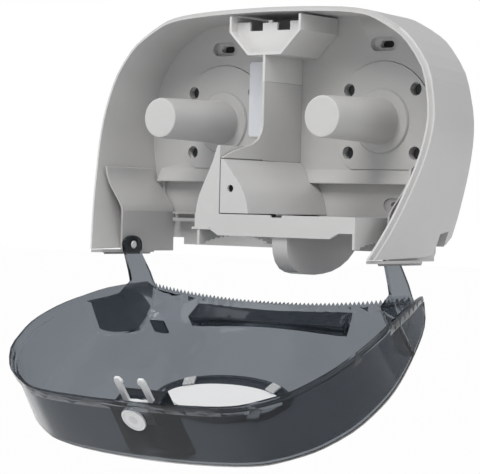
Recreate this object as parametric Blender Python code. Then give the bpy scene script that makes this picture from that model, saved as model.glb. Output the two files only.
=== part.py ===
# Double roll toilet tissue dispenser, cover open, selector shutter pushed to the right.
# Frame: wall face at Y = 0, front towards -Y, +Z up, spindle axes at Z = 0. Metres.
import math

import bmesh
import bpy
from mathutils import Matrix, Vector

for thing in list(bpy.data.objects):
    bpy.data.objects.remove(thing, do_unlink=True)

# General fits
GAP = 0.0003            # seat between touching pieces
RUN = 0.0006            # running clearance of sliding pieces
OVERRUN = 0.010         # how far every cutter runs past what it cuts
MERGE = 0.000002        # points closer than this are one

# Housing
RIM_HALF_WIDTH = 0.174      # half width of the lip the cover closes on
RIM_TOP = 0.0938            # lip at its highest
RIM_LOW = -0.1167           # lip at its lowest
RIM_DEPTH = 0.0704          # lip ahead of the wall at the top
RIM_SWEEP = 0.0511          # how much further forward it runs at the bottom
LIP_STEP = 0.0026           # shoulder outside the lip
LIP_LENGTH = 0.0046         # lip ahead of its shoulder
LIP_THICK = 0.0018
SHELL_WALL = 0.0026
SIDE_DRAFT = 0.0066         # how much the sides draw in towards the wall
TOP_DRAFT = 0.0018
PLATE = 0.0120              # back plate front face ahead of the wall
PLATE_WEB = 0.0030          # skin left in front of the rear pockets
PLATE_LOW = -0.1120         # lower edge of the back plate
PANEL_DROP = 0.0030         # lower field of the plate lies this much deeper
LEDGE_TOP = -0.0420
LEDGE_LOW = -0.0540
LEDGE_REACH = 0.0065
LEDGE_SHARE = 0.955         # ledge and lower field, shares of the plate's half width
FIELD_SHARE = 0.93
CORNER_RISE = 0.0190        # rounded lower rear corner of the lobes
CORNER_RUN = 0.0400
LOBE_SLOPE = 0.0020
POCKET_PITCH = 0.0300
POCKET_RIB = 0.0020
POCKET_EDGE = 0.0060
CENTRE_RIB = 0.0140         # solid strip behind the column

# outline of half the lip, lower corner to top centre: shares of half width, height and sweep
RIM_SHARES = (
    (0.845, 0.000, 1.000), (0.875, 0.059, 0.877), (0.917, 0.158, 0.693), (0.950, 0.257, 0.530),
    (0.978, 0.356, 0.372), (0.997, 0.456, 0.245), (1.000, 0.554, 0.143), (0.979, 0.653, 0.080),
    (0.939, 0.752, 0.025), (0.851, 0.851, 0.010), (0.776, 0.901, 0.000), (0.665, 0.951, 0.000),
    (0.587, 0.973, 0.000), (0.449, 0.988, 0.000), (0.224, 0.997, 0.000), (0.000, 1.000, 0.000))
RIM_STEPS = 2

# Wall slots and holes
SLOT_LENGTH = 0.0270
SLOT_HEIGHT = 0.0124
SLOT_RECESS = 0.0050
LEDGE_EDGE = 0.0010
SLOT_WEB = 0.0008           # knock-out skin left at the back of each screw slot
SLOT_UPPER = 0.0666
SLOT_LOWER = -0.0720
SLOT_LOWER_X = 0.1010
SCREW_SLOT_LENGTH = 0.0146
SCREW_SLOT_HEIGHT = 0.0062

# Spindles
SPINDLE_SPACING = 0.1720
SPINDLE_REACH = 0.0914      # tip ahead of the plate
SPINDLE_TIP = 0.01765
SPINDLE_ROOT = 0.0194
SPINDLE_WALL = 0.0024
SPINDLE_EDGE = 0.0012
COLLAR_RADIUS = 0.0280
COLLAR_RISE = 0.0022
FLANGE_RADIUS = 0.0517
FLANGE_THICK = 0.0024
FLANGE_RECESS = 0.0018
FLANGE_FLAT = -0.0413
CORE_RADIUS = 0.0050
PILOT_RADIUS = 0.0019
PILOT_DEPTH = 0.0160
HOLE_X = 0.0340
HOLE_Z = 0.0272
HOLE_RADIUS = 0.00575
BOSS_RADIUS = 0.0090
SCREW_SHANK = 0.0018
SCREW_HEAD = 0.0048
SCREW_HEAD_HIGH = 0.0026
SCREW_FACE_SHARE = 0.8
SCREW_BITE = 0.0090
FIXING_SEAT = 0.0045        # seat of the fixing screws ahead of the wall
FIXING_HEAD = 0.0050
ROUND_SIDES = 32
HOLE_SIDES = 16

# Centre column and latch bracket
COLUMN_HALF = 0.0012
COLUMN_FRONT = 0.0682
COLUMN_SEAM = 0.0325
# top edge of the column's nose, from the hood's front back to the column: (y, z)
NOSE_SHARES = ((0.000, 0.000), (0.240, 0.173), (0.500, 0.297), (0.735, 0.393), (0.885, 0.547), (0.965, 0.773), (1.000, 1.000))
NOSE_RISE = 0.0310
LATCH_FRONT = 0.0685
LATCH_HALF = 0.0380
LATCH_TOP = 0.0895
LATCH_FACE_TOP = 0.0845     # top of the recessed wall the slots are in
TONGUE_TOP = 0.0836
NUB_HALF = 0.0020
NUB_TOP = 0.0858
LATCH_SHOULDER = 0.0755
LATCH_FLOOR = 0.0552
LATCH_FLOOR_HALF = 0.0176
LATCH_WALL = 0.0025
LATCH_RECESS = 0.0080
LATCH_BORDER = 0.0022
SLOT_NEAR = 0.0078
SLOT_FAR = 0.0214
SLOT_SILL = 0.0768

# Divider hood, right half of the bell
HOOD_TOP = -0.0362
HOOD_LOW = -0.0816
HOOD_HALF = 0.0287
HOOD_FRONT = 0.1240
HOOD_WALL = 0.0024
HOOD_HOLE = 0.0032
HOOD_HOLE_X = 0.0094
HOOD_HOLE_Z = -0.0609
BELL_SHARES = ((0.04, 0.00), (0.17, 0.085), (0.43, 0.285), (0.69, 0.475), (0.88, 0.70), (1.00, 1.00))

# Guide rail and selector shutter
RAIL_HALF = 0.1360
RAIL_HIGH = 0.0100
RAIL_DEEP = 0.0110
RAIL_GROOVE = 0.0070
DOOR_LEFT = -0.0280
DOOR_RIGHT = 0.1358
DOOR_FRONT = 0.1238
DOOR_BACK = 0.0185
DOOR_OVERHANG = 0.0030      # bar ahead of the left end wall
RAIL_CLEAR = 0.0006
DOOR_WALL = 0.0025
DOOR_TOP = -0.0824
DOOR_FLOOR = -0.0845
BAR_LOW = -0.1005
BAR_RAISED = -0.0958
BAR_RAISED_RUN = 0.0166
BAR_CHAMFER = 0.0087
END_LOW = -0.1085
END_ARCH = 0.0068
END_ARCH_SHARE = 0.7
END_TOOTH = 0.0032
END_TEETH = 28
END_FOOT = 0.0070
NOTCH_X = 0.0570
NOTCH_RADIUS = 0.0070
NOTCH_LIFT = 0.0022
BARRIER_TOP = -0.0245
BARRIER_HALF = 0.0248
BARRIER_SHARES = ((0.11, 0.00), (0.33, 0.248), (0.617, 0.49), (0.863, 0.705), (0.98, 0.89), (1.00, 1.00))
BARRIER_RIGHT = -0.0024
BARRIER_BACK = 0.0420
FLANGE_TIP = 0.0026
FLANGE_TOP = -0.0938
FLANGE_HIGH = 0.0020
FLANGE_PROUD = 0.0006
HANDLE_LEFT = 0.0518
HANDLE_WIDE = 0.0154
HANDLE_FRONT = 0.1213
HANDLE_BACK = 0.0150
HANDLE_LOW = -0.1317
# outline of the handle below the floor: shares of its length (from the front) and of its drop
HANDLE_SHARES = (
    (0.000, 0.00), (0.000, 0.43), (0.012, 0.60), (0.044, 0.76), (0.100, 0.885), (0.170, 0.95), (0.260, 0.985),
    (0.384, 1.00), (0.500, 0.985), (0.620, 0.945), (0.740, 0.86), (0.850, 0.73), (0.940, 0.565), (1.000, 0.34))
SPRING_LENGTH = 0.0300
SPRING_THICK = 0.0006
SPRING_RISE = 0.0020

# Hinge inserts
INSERT_INNER = 0.1412       # inner face of the guide wall
INSERT_WALL = 0.0020
INSERT_FRONT = 0.0850
INSERT_TOP = -0.0430
INSERT_SHOULDER = -0.0820
INSERT_PLATE = 0.0024
INSERT_STEP_SHARE = 0.93    # the plate narrows here to let the cover swing past
INSERT_EDGE_SHARE = 0.85
INSERT_CORNER = 0.0044       # inner front corner cut off for the cover's guide wall
INSERT_TOOTH = 0.0018
INSERT_TOOTH_PITCH = 0.0032
INSERT_TEETH_NEAR = 0.0400
INSERT_TEETH = 20
INSERT_TEETH_WIDE = 0.0024
WAVE_SHARES = ((1.00, 0.00), (0.93, 0.22), (0.66, 0.48), (0.28, 0.74), (0.07, 0.90), (0.00, 1.00))

# Cover and its hinge
HINGE_Y = -0.0740
HINGE_Z = -0.1125
OPEN_ANGLE = math.radians(127.4)
PIN_RADIUS = 0.0026
PIN_HEAD = 0.0036
PIN_HEAD_THICK = 0.0010
COVER_WALL = 0.0022
COVER_EDGE = 0.0006         # gap between cover edge and shoulder
COVER_RELIEF = 0.0036       # wider gap at the lowest part of the edge, to swing clear
COVER_RELIEF_TOP = -0.0800
COVER_DEPTH = 0.1537        # front panel ahead of the wall at its middle
COVER_CROWN = 0.0130        # how far the panel falls back at its sides
COVER_FALL = 0.0079         # how far it falls back at its top
COVER_BAND = 0.0085         # length of the rim band that stands out to clear the lip
BAND_FULL = -0.0800         # height above which the band has its full length
BAND_LEAST = 0.0040
BAND_SLOPE = 0.10
COVER_STEP = 0.0024
SPREAD_SIDE = 0.041         # share by which the bowl widens towards the panel
SPREAD_TOP = 0.028
COVER_BASE = -0.1570        # height the skin's rings draw together at
COVER_CURL_TOP = -0.0100    # the panel curls in below this
CURL_MIDDLE = 2.3           # power of the curl, in the middle and added at the sides
CURL_SIDES = 8.0
COVER_BACK = 0.0120         # spare length behind the edge, trimmed off
COVER_SQUARE = 8.0
COVER_UNDER = 0.0019        # drop of the inner skin's lower edge that opens the cover downwards
COVER_FOOT = 0.0025         # side walls reach this far below the lobes
TEAR_DEPTH = 0.1310         # tear edge ahead of the wall at its middle
TEAR_BOW = 0.0051           # how far it falls back at its ends
TEAR_HIGH = -0.1061         # height of the tear edge at its middle
TEAR_SAG = 0.0080           # how far it hangs down at its ends
TEAR_CURVE = 2.3
TEAR_HALF = 0.1375          # tear edge, half width
TEAR_CORNER = 0.0120
TEAR_TOOTH = 0.0022
TEAR_TEETH = 64
TEAR_STEPS = 16
TEAR_BAND = 0.0030
RING_SHARES = (1.0, 0.990, 0.970, 0.93, 0.86, 0.76, 0.63, 0.50, 0.41, 0.34, 0.28, 0.235, 0.20)
ARM_INNER = 0.1375
ARM_THICK = 0.0030
ARM_HEAD_LONG = 0.0125      # half axes of the head, level and upright when the cover is open
ARM_HEAD_HIGH = 0.0083
ARM_HEAD_START = math.radians(180)
ARM_HEAD_SWEEP = math.radians(180)
ARM_TURNS = 12
# edges of the arm, shares of its reach ahead of the hinge and of its rise above it
ARM_LOWER_SHARES = ((0.17, -0.245), (0.44, -0.25), (0.635, -0.15))
ARM_UPPER_SHARES = ((0.320, 1.00), (0.300, 0.95), (0.215, 0.83), (0.10, 0.70))
GUIDE_REAR_LOW = -0.0920    # height where the arm passes into the guide wall
# rear edge of the guide wall, shares of the lip's sweep and height
GUIDE_REAR_SHARES = ((0.569, 0.000), (0.569, 0.189), (0.554, 0.241), (0.536, 0.269), (0.452, 0.326), (0.393, 0.360),
                     (0.344, 0.383))
# guide wall of the cover, level with the hinge insert's: half widths and heights
GUIDE_FOOT = -0.0740
GUIDE_HEAD = -0.0430
GUIDE_WALL = 0.0022
GUIDE_SHARES = ((0.00, 0.00), (0.05, 0.08), (0.16, 0.20), (0.36, 0.36), (0.62, 0.58), (0.86, 0.82), (1.00, 1.00))

# Pieces on the cover
TROUGH_HALF = 0.0830
TROUGH_LOW = -0.1035
TROUGH_HIGH = -0.0850
TROUGH_REAR = 0.1315        # open side ahead of the wall
TROUGH_DEEP = 0.0110
TROUGH_WALL = 0.0020
TAB_LEFT = -0.1204
TAB_RIGHT = -0.1050
TAB_REAR = 0.1310
TAB_LOW = -0.0765
TAB_THICK = 0.0016
BADGE_Z = -0.0020
BADGE_WIDE = 0.0715         # half axes of the oval badge
BADGE_HIGH = 0.0290
DISC_WIDE = 0.0607
DISC_HIGH = 0.0181
BADGE_RISE = 0.0042         # bead's rear edge behind the panel's inner face
BADGE_BEAD = 0.0028
BADGE_FLOOR = 0.0018
BADGE_PROUD = 0.0008
DISC_SINK = 0.0006
OVAL_SIDES = 48
CLIP_ANGLES_SHARES = (0.134, 0.366, 0.634, 0.866)
CLIP_WIDE = 0.0110
CLIP_LONG = 0.0080
CLIP_THICK = 0.0014
BUTTON_Y = -0.0860
BUTTON_RADIUS = 0.0113
BUTTON_WALL = 0.0020
BUTTON_PROUD = 0.0010
BUTTON_TRAVEL = 0.0020
BUTTON_DISH = 0.0006
LOCK_HALF = 0.0225
LOCK_BACK = -0.0765
LOCK_LOW = 0.0690
LOCK_WALL = 0.0020
FORK_LOW = 0.0793
FORK_THICK = 0.0026
FORK_BASE = -0.1020
FORK_ROOT = -0.0780
FORK_TIP = -0.0545
FORK_HALF = 0.0160
FORK_NEAR = 0.0101
FORK_BARB = 0.0030
FORK_BITE = 0.0018
FORK_BARB_Y = -0.0600
COIL_RADIUS = 0.0050
COIL_WIRE = 0.0005
COIL_TURNS = 4
COIL_POINTS = 8
LABEL_LEFT = -0.0560
LABEL_RIGHT = -0.0140
LABEL_LOW = -0.0130
LABEL_TOP = 0.0540
LABEL_THICK = 0.0004
LABEL_ROUND = 0.0020

SMOOTH = math.radians(32)
FLAT = math.radians(0.4)    # faces closer to one plane than this are merged


def finish(name, colour, roughness, metallic=0.0, alpha=1.0):
    """Principled material in linear colour."""
    made = bpy.data.materials.new(name)
    made.use_nodes = True
    shader = made.node_tree.nodes["Principled BSDF"]
    shader.inputs["Base Color"].default_value = (*colour, 1.0)
    shader.inputs["Roughness"].default_value = roughness
    shader.inputs["Metallic"].default_value = metallic
    shader.inputs["Alpha"].default_value = alpha
    return made


GREY_ABS = finish("grey_abs", (0.47, 0.47, 0.48), 0.35)
INSERT_ABS = finish("insert_abs", (0.44, 0.44, 0.455), 0.35)
SMOKE = finish("smoke_polycarbonate", (0.10, 0.115, 0.13), 0.12, alpha=0.6)
DARK_SMOKE = finish("dark_smoke", (0.045, 0.05, 0.058), 0.15)
WHITE_ACETAL = finish("white_acetal", (0.80, 0.80, 0.80), 0.30)
PAPER = finish("label_film", (0.78, 0.80, 0.84), 0.45)
STEEL = finish("steel", (0.55, 0.55, 0.56), 0.30, metallic=1.0)
DARK_STEEL = finish("dark_steel", (0.05, 0.055, 0.06), 0.40, metallic=1.0)


# Building helpers

def grid_body(rings, closed_ring=True):
    """Closed body through rings of equal count, with a face on each end."""
    body = bmesh.new()
    rows = [[body.verts.new(point) for point in ring] for ring in rings]
    count = len(rings[0])
    last = count if closed_ring else count - 1
    for near, far in zip(rows, rows[1:]):
        for i in range(last):
            j = (i + 1) % count
            body.faces.new((near[i], near[j], far[j], far[i]))
    body.faces.new(rows[0])
    body.faces.new(rows[-1])
    return body


def prism(outline, axis, start, stop):
    """Outline of pairs swept along one axis: X takes (y, z), Y takes (x, z), Z takes (x, y)."""
    def place(pair, along):
        if axis == "X":
            return (along, pair[0], pair[1])
        if axis == "Y":
            return (pair[0], along, pair[1])
        return (pair[0], pair[1], along)
    return grid_body([[place(pair, start) for pair in outline], [place(pair, stop) for pair in outline]])


def block(x_range, y_range, z_range):
    """Box between three ranges."""
    outline = ((x_range[0], z_range[0]), (x_range[1], z_range[0]), (x_range[1], z_range[1]), (x_range[0], z_range[1]))
    return prism(outline, "Y", y_range[0], y_range[1])


def turned(profile, centre_x, centre_z, sides=ROUND_SIDES):
    """Profile of (radius, y) pairs turned about a line along Y; radius 0 is a pole."""
    body = bmesh.new()
    rows = []
    for radius, y in profile:
        if radius == 0:
            rows.append([body.verts.new((centre_x, y, centre_z))])
            continue
        angles = [math.tau * k / sides for k in range(sides)]
        rows.append([body.verts.new((centre_x + radius * math.cos(a), y, centre_z + radius * math.sin(a)))
                     for a in angles])
    for near, far in zip(rows, rows[1:]):
        for i in range(sides):
            j = (i + 1) % sides
            corners = [near[i % len(near)], near[j % len(near)], far[j % len(far)], far[i % len(far)]]
            unique = list(dict.fromkeys(corners))
            body.faces.new(unique)
    if len(rows[0]) > 1:
        body.faces.new(rows[0])
    if len(rows[-1]) > 1:
        body.faces.new(rows[-1])
    return body


def disc(radius, centre_x, centre_z, y_range, sides=HOLE_SIDES):
    """Round bar along Y."""
    return turned(((radius, y_range[0]), (radius, y_range[1])), centre_x, centre_z, sides)


def stadium(centre_x, centre_z, length, height, sides=8):
    """Outline of a slot with round ends, long side along X."""
    radius = height / 2
    reach = length / 2 - radius
    points = []
    for side in (1, -1):
        for k in range(sides + 1):
            turn = math.pi * k / sides - math.pi / 2
            points.append((centre_x + side * (reach + radius * math.cos(turn)),
                           centre_z + side * radius * math.sin(turn)))
    return points


def swap_axis(body, centre, old, new):
    """Turn a body made along one axis so that it lies along another, about a centre."""
    turn = Vector(old).rotation_difference(Vector(new)).to_matrix().to_4x4()
    shift = Matrix.Translation(centre)
    bmesh.ops.transform(body, matrix=shift @ turn @ shift.inverted(), verts=body.verts)
    return body


def face_out(body):
    """Clean a closed body and turn its faces outwards."""
    bmesh.ops.remove_doubles(body, verts=body.verts, dist=MERGE)
    bmesh.ops.triangulate(body, faces=body.faces)
    bmesh.ops.recalc_face_normals(body, faces=body.faces)
    if body.calc_volume(signed=True) < 0:
        bmesh.ops.reverse_faces(body, faces=body.faces)


def merged_bodies(bodies):
    """Several separate bodies in one mesh."""
    whole = bmesh.new()
    for body in bodies:
        face_out(body)
        mesh = bpy.data.meshes.new("loose")
        body.to_mesh(mesh)
        whole.from_mesh(mesh)
        bpy.data.meshes.remove(mesh)
        body.free()
    return whole


def as_object(name, body, material=None):
    """Object from a body, with faces turned out."""
    face_out(body)
    mesh = bpy.data.meshes.new(name)
    body.to_mesh(mesh)
    body.free()
    made = bpy.data.objects.new(name, mesh)
    bpy.context.scene.collection.objects.link(made)
    if material:
        mesh.materials.append(material)
    return made


def combine(target, body, operation):
    """Boolean of a body with an object, made part of its mesh."""
    tool = as_object("tool", body)
    step = target.modifiers.new("step", "BOOLEAN")
    step.operation = operation
    step.solver = "EXACT"
    step.object = tool
    bpy.context.view_layer.update()
    evaluated = target.evaluated_get(bpy.context.evaluated_depsgraph_get())
    fresh = bpy.data.meshes.new_from_object(evaluated)
    target.modifiers.remove(step)
    old = target.data
    target.data = fresh
    bpy.data.meshes.remove(old)
    bpy.data.objects.remove(tool, do_unlink=True)
    return target


def cut(target, *bodies):
    """Take bodies away."""
    return combine(target, merged_bodies(bodies), "DIFFERENCE")


def add(target, body):
    """Fuse a body on."""
    return combine(target, body, "UNION")


def keep(target, body):
    """Keep only what lies inside a body."""
    return combine(target, body, "INTERSECT")


def tidy(target, material, parent=None, flat=FLAT):
    """Last step of every piece: one material, clean mesh, smooth shading, parent."""
    body = bmesh.new()
    body.from_mesh(target.data)
    bmesh.ops.remove_doubles(body, verts=body.verts, dist=MERGE)
    bmesh.ops.dissolve_degenerate(body, edges=body.edges, dist=MERGE)
    bmesh.ops.dissolve_limit(body, angle_limit=flat, verts=body.verts, edges=body.edges)
    bmesh.ops.triangulate(body, faces=body.faces)
    body.to_mesh(target.data)
    body.free()
    target.data.materials.clear()
    target.data.materials.append(material)
    for face in target.data.polygons:
        face.material_index = 0
    target.data.shade_smooth()
    target.data.set_sharp_from_angle(angle=SMOOTH)
    if parent:
        target.parent = parent
    return target


# Outlines that several pieces share

def smooth_line(points, steps):
    """Points of a Catmull-Rom curve through a list of tuples."""
    ends = [points[0], *points, points[-1]]
    line = []
    for a, b, c, d in zip(ends, ends[1:], ends[2:], ends[3:]):
        for k in range(steps):
            t = k / steps
            weights = (-t + 2 * t * t - t ** 3, 2 - 5 * t * t + 3 * t ** 3, t + 4 * t * t - 3 * t ** 3, t ** 3 - t * t)
            line.append(tuple(sum(w * p[i] for w, p in zip(weights, (a, b, c, d))) / 2 for i in range(len(a))))
    line.append(points[-1])
    return line


def rim_line():
    """Lip outline, lower left corner over the top to the lower right: (x, z, y, normal x, normal z)."""
    half = smooth_line(RIM_SHARES, RIM_STEPS)
    height = RIM_TOP - RIM_LOW
    right = [(RIM_HALF_WIDTH * sx, RIM_LOW + height * sz, -(RIM_DEPTH + RIM_SWEEP * sy)) for sx, sz, sy in half]
    left = [(-x, z, y) for x, z, y in right]
    points = left[:-1] + right[::-1]
    line = []
    for i, (x, z, y) in enumerate(points):
        before = points[max(i - 1, 0)]
        after = points[min(i + 1, len(points) - 1)]
        along = Vector((after[0] - before[0], after[1] - before[1])).normalized()
        line.append((x, z, y, -along.y, along.x))
    return line


RIM = rim_line()


def draft(normal_x, normal_z):
    """How far the outer skin draws in between shoulder and wall."""
    return SIDE_DRAFT * normal_x ** 2 + TOP_DRAFT * normal_z ** 2


def bell(shares, top, low, half, inset=0.0):
    """Half of a bell outline, top to bottom, as (x, z) pairs."""
    height = top - low
    line = smooth_line(shares, 2)
    points = [(half * sx, top - height * sz) for sx, sz in line]
    moved = []
    for i, (x, z) in enumerate(points):
        before = points[max(i - 1, 0)]
        after = points[min(i + 1, len(points) - 1)]
        along = Vector((after[0] - before[0], after[1] - before[1])).normalized()
        moved.append((x + inset * along.y, z - inset * along.x))
    return moved


def lobe_trim(lift=0.0):
    """What lies below the lobes and outside their rounded lower rear corner, in (y, z)."""
    corner = [(OVERRUN, RIM_LOW + CORNER_RISE), (0.0, RIM_LOW + CORNER_RISE)]
    turns = 5
    for k in range(1, turns + 1):
        angle = math.pi / 2 * k / turns
        corner.append((-CORNER_RUN * (1 - math.cos(angle)) * 0.5 - CORNER_RUN * 0.5 * k / turns,
                       RIM_LOW + CORNER_RISE - (CORNER_RISE - LOBE_SLOPE) * math.sin(angle)))
    front = -(RIM_DEPTH + RIM_SWEEP + OVERRUN)
    corner += [(front, RIM_LOW), (front, RIM_LOW - OVERRUN - CORNER_RISE), (OVERRUN, RIM_LOW - OVERRUN - CORNER_RISE)]
    return [(y, z + lift) for y, z in corner]


# Back housing: one moulding of wall plate, arched wall, lip and ledge

def back_housing():
    sections = []
    for x, z, y, nx, nz in RIM:
        out = LIP_STEP - draft(nx, nz)
        inner = out - SHELL_WALL
        sections.append(((x + nx * out, 0.0, z + nz * out),
                         (x + nx * LIP_STEP, y + LIP_LENGTH, z + nz * LIP_STEP),
                         (x, y + LIP_LENGTH, z),
                         (x, y, z),
                         (x - nx * LIP_THICK, y, z - nz * LIP_THICK),
                         (x + nx * inner, 0.0, z + nz * inner)))
    housing = as_object("back_housing", grid_body(sections))
    middle = -SHELL_WALL / 2
    outline = []
    for x, z, y, nx, nz in RIM:
        out = LIP_STEP - draft(nx, nz) + middle
        outline.append((x + nx * out, max(z + nz * out, PLATE_LOW)))
    add(housing, prism(outline, "Y", 0.0, -PLATE))
    side = RIM_HALF_WIDTH - SIDE_DRAFT - SHELL_WALL
    add(housing, prism(ledge_outline(0.0), "X", -side * LEDGE_SHARE, side * LEDGE_SHARE))
    # the lower field of the plate lies deeper than the upper one
    field = side * FIELD_SHARE
    cut(housing, block((-field, field), (-PLATE + PANEL_DROP, -PLATE - OVERRUN), (PLATE_LOW - OVERRUN, LEDGE_LOW - GAP)))
    rear_pockets(housing)
    cut(housing, prism(lobe_trim(), "X", -RIM_HALF_WIDTH - OVERRUN, -INSERT_INNER + OVERRUN),
        prism(lobe_trim(), "X", INSERT_INNER - OVERRUN, RIM_HALF_WIDTH + OVERRUN))
    through = []
    seats = []
    recesses = []
    for side in (-1, 1):
        x = side * SPINDLE_SPACING / 2
        for hole_x, hole_z in fixing_places(side):
            through.append(disc(SCREW_SHANK + GAP, hole_x, hole_z, (OVERRUN, -PLATE - OVERRUN), HOLE_SIDES // 2))
            seats.append(disc(HOLE_RADIUS, hole_x, hole_z, (-FIXING_SEAT, -PLATE - OVERRUN)))
        through.append(disc(SCREW_SHANK + GAP, x, 0.0, (OVERRUN, -PLATE - OVERRUN)))
        recesses.append(prism(flange_outline(x, GAP), "Y", -PLATE + FLANGE_RECESS, -PLATE - OVERRUN))
        recesses.append(disc(SCREW_HEAD + RUN, x, 0.0, (OVERRUN, -PLATE / 2)))
        for centre_x, centre_z in ((x, SLOT_UPPER), (side * SLOT_LOWER_X, SLOT_LOWER)):
            wide = stadium(centre_x, centre_z, SLOT_LENGTH, SLOT_HEIGHT)
            narrow = stadium(centre_x, centre_z, SCREW_SLOT_LENGTH, SCREW_SLOT_HEIGHT)
            through.append(prism(narrow, "Y", -SLOT_WEB, -PLATE - OVERRUN))
            recesses.append(prism(wide, "Y", -PLATE + SLOT_RECESS, -PLATE - OVERRUN))
    cut(housing, *recesses)
    cut(housing, *seats)
    cut(housing, *through)
    return tidy(housing, GREY_ABS)


def ledge_outline(clearance):
    """Ledge between the two fields of the plate, in (y, z)."""
    foot = -PLATE + LEDGE_EDGE
    front = -PLATE - LEDGE_REACH - clearance
    return ((foot, LEDGE_TOP + clearance), (-PLATE, LEDGE_TOP + clearance), (front, LEDGE_LOW + LEDGE_EDGE + clearance),
            (front, LEDGE_LOW - clearance), (foot, LEDGE_LOW - clearance))


def fixing_places(side):
    """Places of the four fixing screws around one spindle, as (x, z)."""
    middle = side * SPINDLE_SPACING / 2
    return [(middle + sx * HOLE_X, sz * HOLE_Z) for sx in (-1, 1) for sz in (-1, 1)]


def flange_outline(x, clearance):
    """Round flange with its lower segment cut off flat, in (x, z)."""
    radius = FLANGE_RADIUS + clearance
    flat = FLANGE_FLAT - clearance
    start = math.asin(flat / radius)
    sweep = math.pi - 2 * start
    turns = ROUND_SIDES * 2
    return [(x + radius * math.cos(start + sweep * k / turns), radius * math.sin(start + sweep * k / turns))
            for k in range(turns + 1)]


def rear_pockets(housing):
    """Shallow pockets in the rear face, leaving ribs and bosses."""
    keep_clear = []
    for side in (-1, 1):
        x = side * SPINDLE_SPACING / 2
        keep_clear.append((x, 0.0, BOSS_RADIUS))
        keep_clear += [(hole_x, hole_z, BOSS_RADIUS) for hole_x, hole_z in fixing_places(side)]
        slot_reach = SLOT_LENGTH / 2 + POCKET_RIB
        keep_clear += [(x, SLOT_UPPER, slot_reach), (side * SLOT_LOWER_X, SLOT_LOWER, slot_reach)]
    columns = int(RIM_HALF_WIDTH / POCKET_PITCH)
    rows = int((RIM_TOP - RIM_LOW) / POCKET_PITCH)
    pockets = []
    for side in (-1, 1):
        for c in range(columns):
            for r in range(rows):
                left = CENTRE_RIB / 2 + c * POCKET_PITCH
                low = PLATE_LOW + POCKET_EDGE + r * POCKET_PITCH
                right = left + POCKET_PITCH - POCKET_RIB
                high = low + POCKET_PITCH - POCKET_RIB
                if not inside_plate(right + POCKET_EDGE, high + POCKET_EDGE) or not inside_plate(right + POCKET_EDGE, low):
                    continue
                near = [max(left - abs(x), abs(x) - right, low - z, z - high) < radius
                        for x, z, radius in keep_clear if x * side > 0]
                if any(near):
                    continue
                pockets.append(block(sorted((side * left, side * right)), (OVERRUN, -PLATE + PLATE_WEB + PANEL_DROP), (low, high)))
    if pockets:
        cut(housing, *pockets)


def inside_plate(x, z):
    """Whether a point of the plate lies inside the arched wall."""
    half = [(px - nx * SIDE_DRAFT, pz - nz * SHELL_WALL) for px, pz, _, nx, nz in RIM if px > 0]
    for (ax, az), (bx, bz) in zip(half, half[1:]):
        if min(az, bz) <= z <= max(az, bz) and az != bz:
            return x < ax + (bx - ax) * (z - az) / (bz - az)
    return False


# Spindles: hollow tapered posts with a flange, each held by one screw from behind

def spindle(side):
    name = "spindle_right" if side > 0 else "spindle_left"
    x = side * SPINDLE_SPACING / 2
    back = -PLATE + FLANGE_RECESS - GAP
    front = back - FLANGE_THICK
    tip = -PLATE - SPINDLE_REACH
    shoulder = front - COLLAR_RISE
    root_inner = SPINDLE_ROOT - SPINDLE_WALL
    tip_inner = SPINDLE_TIP - SPINDLE_WALL
    profile = ((0, tip), (SPINDLE_TIP - SPINDLE_EDGE * 2, tip), (SPINDLE_TIP - SPINDLE_EDGE / 2, tip + SPINDLE_EDGE / 2),
               (SPINDLE_TIP, tip + SPINDLE_EDGE * 2), (SPINDLE_ROOT, shoulder - SPINDLE_EDGE),
               (SPINDLE_ROOT + SPINDLE_EDGE, shoulder), (COLLAR_RADIUS - SPINDLE_EDGE, shoulder),
               (COLLAR_RADIUS, shoulder + SPINDLE_EDGE), (COLLAR_RADIUS, front), (FLANGE_RADIUS, front),
               (FLANGE_RADIUS, back), (root_inner, back), (tip_inner, tip + SPINDLE_WALL), (CORE_RADIUS, tip + SPINDLE_WALL),
               (CORE_RADIUS, back), (PILOT_RADIUS, back), (PILOT_RADIUS, back - PILOT_DEPTH), (0, back - PILOT_DEPTH))
    post = as_object(name, turned(profile, x, 0.0, ROUND_SIDES))
    span = FLANGE_RADIUS + OVERRUN
    cut(post, block((x - span, x + span), (front - GAP, back + OVERRUN), (-span, FLANGE_FLAT)))
    cut(post, *[disc(HOLE_RADIUS, hole_x, hole_z, (OVERRUN, -PLATE - OVERRUN / 2)) for hole_x, hole_z in fixing_places(side)])
    return tidy(post, GREY_ABS)


def spindle_screw(side):
    """Screw from behind into the core of a spindle."""
    name = "spindle_screw_right" if side > 0 else "spindle_screw_left"
    head_top = -PLATE / 2 + GAP + SCREW_HEAD_HIGH
    profile = ((0, head_top), (SCREW_HEAD * SCREW_FACE_SHARE, head_top), (SCREW_HEAD, head_top - SCREW_HEAD_HIGH / 2),
               (SCREW_HEAD, head_top - SCREW_HEAD_HIGH), (SCREW_SHANK, head_top - SCREW_HEAD_HIGH),
               (SCREW_SHANK, -PLATE - SCREW_BITE + SCREW_SHANK), (0, -PLATE - SCREW_BITE))
    return tidy(as_object(name, turned(profile, side * SPINDLE_SPACING / 2, 0.0, HOLE_SIDES // 2)), STEEL)


def fixing_screws(side):
    """Screws through the plate from the front, seated deep in the flange's four holes."""
    word = "right" if side > 0 else "left"
    seat = -FIXING_SEAT - GAP
    face = seat - SCREW_HEAD_HIGH
    profile = ((0, face), (FIXING_HEAD * SCREW_FACE_SHARE, face), (FIXING_HEAD, seat - SCREW_HEAD_HIGH / 2),
               (FIXING_HEAD, seat), (SCREW_SHANK, seat), (SCREW_SHANK, -GAP), (0, -GAP))
    for k, (x, z) in enumerate(fixing_places(side)):
        tidy(as_object(f"fixing_screw_{word}_{k + 1}", turned(profile, x, z, HOLE_SIDES // 2 + 2)), DARK_STEEL)


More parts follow.
